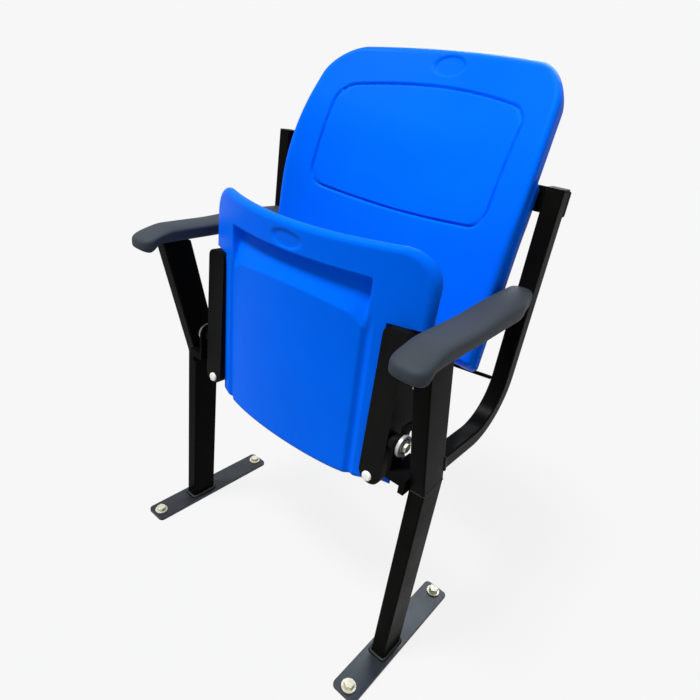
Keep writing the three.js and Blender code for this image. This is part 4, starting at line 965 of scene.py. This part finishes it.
def model_armrest(sign, settings):
    """A lofted armrest: a rounded slab that swells and drops to its nose and narrows at its rear."""
    nose = places(0, *ARM_STRETCHES)
    along = np.concatenate([[0], nose, [nose[-1]] * 2])
    inner = np.ones(len(along))
    inner[0] = 0
    inner[-2] = ARM_LAST_RING_SHARE
    inner[-1] = 0
    obj, turn, section = tube_grid(ARM_SIDES, len(along))
    from_nose = along[section]
    y = from_nose - ARM_NOSE
    fill = rim_fill(from_nose, ARM_NOSE_ROUND, ARM_NOSE_SQUARENESS)
    fill = np.maximum(fill, ARM_LEAST_FILL_SHARE) * inner[section]
    rear_round = rim_fill(np.maximum(0, ARM_REAR - y) + ARM_REAR_ROUND_START, ARM_REAR_ROUND)
    fill = fill * (1 - ARM_REAR_DRAW_SHARE + ARM_REAR_DRAW_SHARE * rear_round)
    seat_line = ARM_TOP_AT_LEG - ARM_THICKNESS + y * math.tan(ARM_SLOPE)
    hang = 1 - smoothstep(from_nose, ARM_HANG_START, ARM_HANG_LENGTH)
    sink = 1 - smoothstep(from_nose, 0, ARM_NOSE_LENGTH)
    rise = ARM_REAR_RISE * smoothstep(y, 0, ARM_REAR_RISE_END)
    top = seat_line + ARM_THICKNESS + rise - ARM_NOSE_DROP * sink
    underside = seat_line - ARM_HANG * hang
    middle = (top + underside) / 2
    half_height = (top - underside) / 2 * fill
    half_width = (ARM_WIDTH + ARM_NOSE_BULB * hang) / 2 * fill
    taper = ARM_TAPER * smoothstep(y, ARM_REAR - ARM_TAPER_LENGTH, ARM_REAR)
    power = settings.roundness
    wide = np.sign(np.cos(turn)) * np.abs(np.cos(turn)) ** power
    high = np.sign(np.sin(turn)) * np.abs(np.sin(turn)) ** power
    crown = -ARM_CROWN * np.maximum(0, high) * wide ** 2 * fill
    x = wide * (half_width - np.where(wide > 0, taper, 0) * fill)
    set_points(obj, sign * (PITCH / 2 + x), y, middle + high * half_height + crown)
    close_and_face_out(obj)
    smooth_by(obj, ARM_SMOOTH_ANGLE)
    return obj


def model_bead(path, radius):
    """A weld bead round a closed path of points, with the ripples that the torch leaves."""
    points = [Vector(point) for point in path]
    points.append(points[0])
    steps = [0]
    for before, after in zip(points, points[1:]):
        steps.append(steps[-1] + (after - before).length)
    count = max(8, round(steps[-1] / BEAD_STEP))
    samples = []
    for k in range(count + 1):
        distance = steps[-1] * k / count
        place = max(i for i in range(len(steps)) if steps[i] <= distance + 1e-9)
        place = min(place, len(points) - 2)
        share = (distance - steps[place]) / max(1e-9, steps[place + 1] - steps[place])
        samples.append((points[place].lerp(points[place + 1], share), distance))
    obj, turn, section = tube_grid(BEAD_SIDES, len(samples))
    middle = sum((point for point, _ in samples), Vector()) / len(samples)
    x = np.empty(len(turn))
    y = np.empty(len(turn))
    z = np.empty(len(turn))
    frames = []
    for k, (point, distance) in enumerate(samples):
        ahead = samples[(k + 2) % len(samples)][0]
        behind = samples[k - 2 if k > 1 else len(samples) - 3 + k][0]
        forward = (ahead - behind).normalized()
        out = point - middle
        out = (out - forward * out.dot(forward)).normalized()
        up = forward.cross(out)
        swell = 1 + BEAD_RIPPLE_SHARE * math.sin(2 * math.pi * distance / BEAD_RIPPLE)
        swell += BEAD_UNEVEN_SHARE * math.sin(BEAD_UNEVEN_TURN * k + 1)
        frames.append((point, out, up, radius * swell))
    for index, (angle, k) in enumerate(zip(turn, section)):
        point, out, up, size = frames[k]
        place = point + out * (math.cos(angle) * size) + up * (math.sin(angle) * size)
        x[index], y[index], z[index] = place
    set_points(obj, x, y, z)
    close_and_face_out(obj)
    smooth_by(obj, BEAD_SMOOTH_ANGLE)
    return obj


def rounded_loop(width, depth, radius, steps=4):
    """Corner points of a rounded rectangle round zero."""
    loop = []
    for quarter, (sx, sy) in enumerate(((1, 1), (-1, 1), (-1, -1), (1, -1))):
        for k in range(steps + 1):
            angle = math.pi / 2 * (quarter + k / steps)
            loop.append((
                sx * (width / 2 - radius) + radius * math.cos(angle),
                sy * (depth / 2 - radius) + radius * math.sin(angle),
            ))
    return loop


class SEAT_OT_backrest(bpy.types.Operator):
    """Models the backrest with its groove, oval pad and side flanges"""
    bl_idname = "tipup.backrest"
    bl_label = "Backrest"

    def execute(self, context):
        obj = model_backrest(context.scene.seat_shells)
        hand_over(obj, "moulded_backrest", "frame", "shell", ["backrest"])
        return {"FINISHED"}


class SEAT_OT_seat_shell(bpy.types.Operator):
    """Models the tip-up seat with its finger pocket and side lips"""
    bl_idname = "tipup.seat_shell"
    bl_label = "Seat shell"

    def execute(self, context):
        obj = model_seat(context.scene.seat_shells)
        hand_over(obj, "moulded_seat", "seat", "shell", ["seat_shell"])
        return {"FINISHED"}


class SEAT_OT_armrests(bpy.types.Operator):
    """Models both armrests"""
    bl_idname = "tipup.armrests"
    bl_label = "Armrests"

    def execute(self, context):
        for name, sign in SIDES.items():
            obj = model_armrest(sign, context.scene.seat_arms)
            hand_over(obj, f"{name}_armrest_pad", "frame", "arm", [f"{name}_armrest"])
        return {"FINISHED"}


class SEAT_OT_side_frames(bpy.types.Operator):
    """Rounds the edges of the tubes, plates and brackets"""
    bl_idname = "tipup.side_frames"
    bl_label = "Side frames"

    def execute(self, context):
        softness = context.scene.seat_metal.softness
        parts = ("leg_tube", "arm_strut", "back_tube", "arm_plate", "pivot_bracket", "back_bracket")
        for name in SIDES:
            for part in parts:
                refine(f"{name}_{part}", softness)
            refine(f"{name}_floor_plate", softness * FLOOR_PLATE_SHARE, finish="plate", segments=3)
            refine(f"{name}_tube_cap", softness)
        refine("cross_rod", 0)
        return {"FINISHED"}


class SEAT_OT_hinge_covers(bpy.types.Operator):
    """Rounds the hinge covers and the saddles on the rod"""
    bl_idname = "tipup.hinge_covers"
    bl_label = "Hinge covers"

    def execute(self, context):
        for name in SIDES:
            refine(f"{name}_hinge_cover", COVER_EDGE, segments=3)
            refine(f"{name}_rod_clip", CLIP_EDGE)
            refine(f"{name}_pivot_bush", BUSH_EDGE)
        return {"FINISHED"}


class SEAT_OT_fasteners(bpy.types.Operator):
    """Rounds bolts, screws, washers, nuts and caps, and shades the springs smooth"""
    bl_idname = "tipup.fasteners"
    bl_label = "Fasteners"

    def execute(self, context):
        small = (
            "arm_screw", "cap_screw", "cover_screw", "clip_screw", "stop_pin", "pivot_nut", "pivot_washer")
        large = (
            "front_floor_bolt", "rear_floor_bolt", "front_floor_washer", "rear_floor_washer",
            "pivot_bolt", "back_bolt")
        for name in SIDES:
            for part in small:
                refine(f"{name}_{part}", SMALL_EDGE)
            for part in large:
                refine(f"{name}_{part}", LARGE_EDGE)
            refine(f"{name}_screw_cap", CAP_EDGE, sharp=CAP_EDGE_ANGLE)
            refine(f"{name}_return_spring", 0, sharp=SPRING_EDGE_ANGLE)
        return {"FINISHED"}


class SEAT_OT_welds(bpy.types.Operator):
    """Lays the weld beads at the feet, the knees and the back tubes"""
    bl_idname = "tipup.welds"
    bl_label = "Welds"

    def execute(self, context):
        radius = context.scene.seat_metal.bead
        for name, sign in SIDES.items():
            centre = sign * PITCH / 2
            foot = [
                (centre + x, y, PLATE_THICKNESS + FOOT_BEAD_LIFT)
                for x, y in rounded_loop(
                    TUBE_WIDTH + FOOT_BEAD_OUTSET, LEG_DEPTH + FOOT_BEAD_OUTSET, FOOT_BEAD_CORNER)]
            obj = model_bead(foot, radius)
            hand_over(obj, f"{name}_foot_weld", "frame", "weld")
            rise = math.tan(STRUT_LEAN / 2)
            knee = [
                (centre + x, y, KNEE_Z + (y + LEG_DEPTH / 2) * rise)
                for x, y in rounded_loop(
                    TUBE_WIDTH - KNEE_BEAD_INSET, LEG_DEPTH - KNEE_BEAD_INSET, KNEE_BEAD_CORNER)]
            obj = model_bead(knee, radius * KNEE_BEAD_SHARE)
            hand_over(obj, f"{name}_knee_weld", "frame", "weld")
            joint_y = LEG_DEPTH / 2 - (BACK_TUBE_Z - KNEE_Z - LEG_DEPTH * rise) * math.tan(STRUT_LEAN)
            lean = math.tan(STRUT_LEAN)
            ring = [
                (centre + x, joint_y - z * lean + TUBE_BEAD_FORWARD, BACK_TUBE_Z + z)
                for x, z in rounded_loop(
                    TUBE_WIDTH + TUBE_BEAD_OUTSET, BACK_TUBE_DEPTH + TUBE_BEAD_OUTSET_DEPTH,
                    TUBE_BEAD_CORNER)]
            obj = model_bead(ring, radius * TUBE_BEAD_SHARE)
            hand_over(obj, f"{name}_back_tube_weld", "frame", "weld")
        return {"FINISHED"}


class SEAT_OT_stage(bpy.types.Operator):
    """Sets up the floor, the lamps, the background and the camera"""
    bl_idname = "tipup.stage"
    bl_label = "Stage"

    def execute(self, context):
        scene = context.scene
        settings = scene.seat_stage
        self.floor(settings)
        self.background(scene, settings)
        self.key_light(settings.key)
        self.lamp("side_lamp", SIDE_LAMP_PLACE, SIDE_LAMP_SIZE, settings.side, SIDE_LAMP_COLOUR)
        self.lamp(
            "rear_lamp", REAR_LAMP_PLACE, REAR_LAMP_SIZE, settings.rear, REAR_LAMP_COLOUR,
            target=REAR_LAMP_TARGET, sheen_only=True)
        self.camera(scene)
        scene.view_settings.view_transform = "Standard"
        return {"FINISHED"}

    def floor(self, settings):
        deselect_all()
        bpy.ops.mesh.primitive_plane_add(size=FLOOR_SIZE, location=(0, 0, -FLOOR_DROP))
        floor = bpy.context.object
        floor.name = "floor"
        finish = Finish("pale_floor")
        tone = tuple(settings.floor_colour)
        cloud = finish.noise(1.5, 2)
        finish.use(
            Base_Color=finish.mixed(cloud, shade(tone, FLOOR_SHADE * 0.99), shade(tone, FLOOR_SHADE)),
            Roughness=0.9, Specular_IOR_Level=0.0)
        self.seen_as_backdrop(finish, tone)
        floor.data.materials.append(finish.material)

    def seen_as_backdrop(self, finish, tone):
        """Lets the floor show the background's colour to the camera and in reflections."""
        rays = finish.tree.nodes.new("ShaderNodeLightPath")
        seen = Value(finish.tree, rays.outputs["Is Camera Ray"])
        seen = seen + Value(finish.tree, rays.outputs["Is Glossy Ray"])
        seen = seen + Value(finish.tree, rays.outputs["Is Transmission Ray"])
        glow = finish.node("ShaderNodeEmission", Color=shade(tone, BACKDROP_LIFT), Strength=1.0)
        mix = finish.tree.nodes.new("ShaderNodeMixShader")
        finish.fill(mix.inputs[0], seen.clamped() * BACKDROP_SHARE)
        finish.tree.links.new(finish.shader.outputs[0], mix.inputs[1])
        finish.fill(mix.inputs[2], glow)
        output = finish.tree.get_output_node("ALL")
        finish.tree.links.new(mix.outputs[0], output.inputs[0])

    def background(self, scene, settings):
        world = bpy.data.worlds.new("studio")
        scene.world = world
        world.use_nodes = True
        tree = world.node_tree
        tree.nodes.clear()
        output = tree.nodes.new("ShaderNodeOutputWorld")
        even = tree.nodes.new("ShaderNodeBackground")
        even.inputs["Color"].default_value = SKY_COLOUR
        even.inputs["Strength"].default_value = settings.sky
        seen = tree.nodes.new("ShaderNodeBackground")
        seen.inputs["Color"].default_value = (*settings.floor_colour, 1)
        seen.inputs["Strength"].default_value = 1
        rays = tree.nodes.new("ShaderNodeLightPath")
        seen_by = Value(tree, rays.outputs["Is Camera Ray"]) + Value(tree, rays.outputs["Is Glossy Ray"])
        seen_by = seen_by + Value(tree, rays.outputs["Is Transmission Ray"])
        mix = tree.nodes.new("ShaderNodeMixShader")
        tree.links.new(seen_by.clamped().socket, mix.inputs[0])
        tree.links.new(even.outputs[0], mix.inputs[1])
        tree.links.new(seen.outputs[0], mix.inputs[2])
        tree.links.new(mix.outputs[0], output.inputs[0])

    def key_light(self, strength):
        light = bpy.data.lights.new("key_light", "SUN")
        light.energy = strength
        light.angle = KEY_ANGLE
        lamp = bpy.data.objects.new("key_light", light)
        bpy.context.scene.collection.objects.link(lamp)
        lamp.rotation_euler = Vector(KEY_DIRECTION).to_track_quat("-Z", "Y").to_euler()

    def lamp(self, name, place, size, power, colour, target=LAMP_TARGET, sheen_only=False):
        light = bpy.data.lights.new(name, "AREA")
        light.shape = "SQUARE"
        light.size = size
        light.energy = power
        light.color = colour
        lamp = bpy.data.objects.new(name, light)
        bpy.context.scene.collection.objects.link(lamp)
        lamp.location = place
        aim = Vector(target) - Vector(place)
        lamp.rotation_euler = aim.to_track_quat("-Z", "Y").to_euler()
        lamp.visible_diffuse = not sheen_only

    def camera(self, scene):
        turn = math.radians(CAMERA_TURN)
        down = math.radians(CAMERA_DOWN)
        roll = math.radians(CAMERA_ROLL)
        ahead = Vector(
            (-math.sin(turn) * math.cos(down), math.cos(turn) * math.cos(down), -math.sin(down)))
        level = Vector((math.cos(turn), math.sin(turn), 0))
        upright = level.cross(ahead)
        right = math.cos(roll) * level + math.sin(roll) * upright
        up = -math.sin(roll) * level + math.cos(roll) * upright
        lens = bpy.data.cameras.new("camera")
        lens.sensor_fit = "HORIZONTAL"
        lens.sensor_width = SENSOR
        lens.lens = FOCAL_PIXELS / FRAME_PIXELS * SENSOR
        lens.clip_start = CAMERA_CLIP
        camera = bpy.data.objects.new("camera", lens)
        scene.collection.objects.link(camera)
        turned = Matrix((right, up, -ahead)).transposed().to_4x4()
        camera.matrix_world = Matrix.Translation(CAMERA_PLACE + DRAWN) @ turned
        scene.camera = camera


class SEAT_PT_panel(bpy.types.Panel):
    """Lists the pieces of the seat"""
    bl_idname = "SEAT_PT_panel"
    bl_label = "Tip-up Seat"
    bl_space_type = "VIEW_3D"
    bl_region_type = "UI"
    bl_category = "Seat"

    def draw(self, context):
        layout = self.layout
        for group in ("seat_shells", "seat_metal", "seat_arms", "seat_stage"):
            settings = getattr(context.scene, group)
            box = layout.box()
            for name in settings.__annotations__:
                box.prop(settings, name)
        for operator in PIECES:
            layout.operator(operator.bl_idname)


PIECES = (
    SEAT_OT_backrest,
    SEAT_OT_seat_shell,
    SEAT_OT_armrests,
    SEAT_OT_side_frames,
    SEAT_OT_hinge_covers,
    SEAT_OT_fasteners,
    SEAT_OT_welds,
    SEAT_OT_stage,
)
SETTINGS = {
    "seat_shells": ShellSettings,
    "seat_metal": MetalSettings,
    "seat_arms": ArmrestSettings,
    "seat_stage": StageSettings,
}


def register():
    for group in SETTINGS.values():
        bpy.utils.register_class(group)
    for name, group in SETTINGS.items():
        setattr(bpy.types.Scene, name, PointerProperty(type=group))
    for operator in PIECES:
        bpy.utils.register_class(operator)
    bpy.utils.register_class(SEAT_PT_panel)


def unregister():
    bpy.utils.unregister_class(SEAT_PT_panel)
    for operator in reversed(PIECES):
        bpy.utils.unregister_class(operator)
    for name, group in SETTINGS.items():
        delattr(bpy.types.Scene, name)
        bpy.utils.unregister_class(group)


def main():
    register()
    for operator in PIECES:
        group, name = operator.bl_idname.split(".")
        getattr(getattr(bpy.ops, group), name)()


if __name__ == "__main__":
    main()
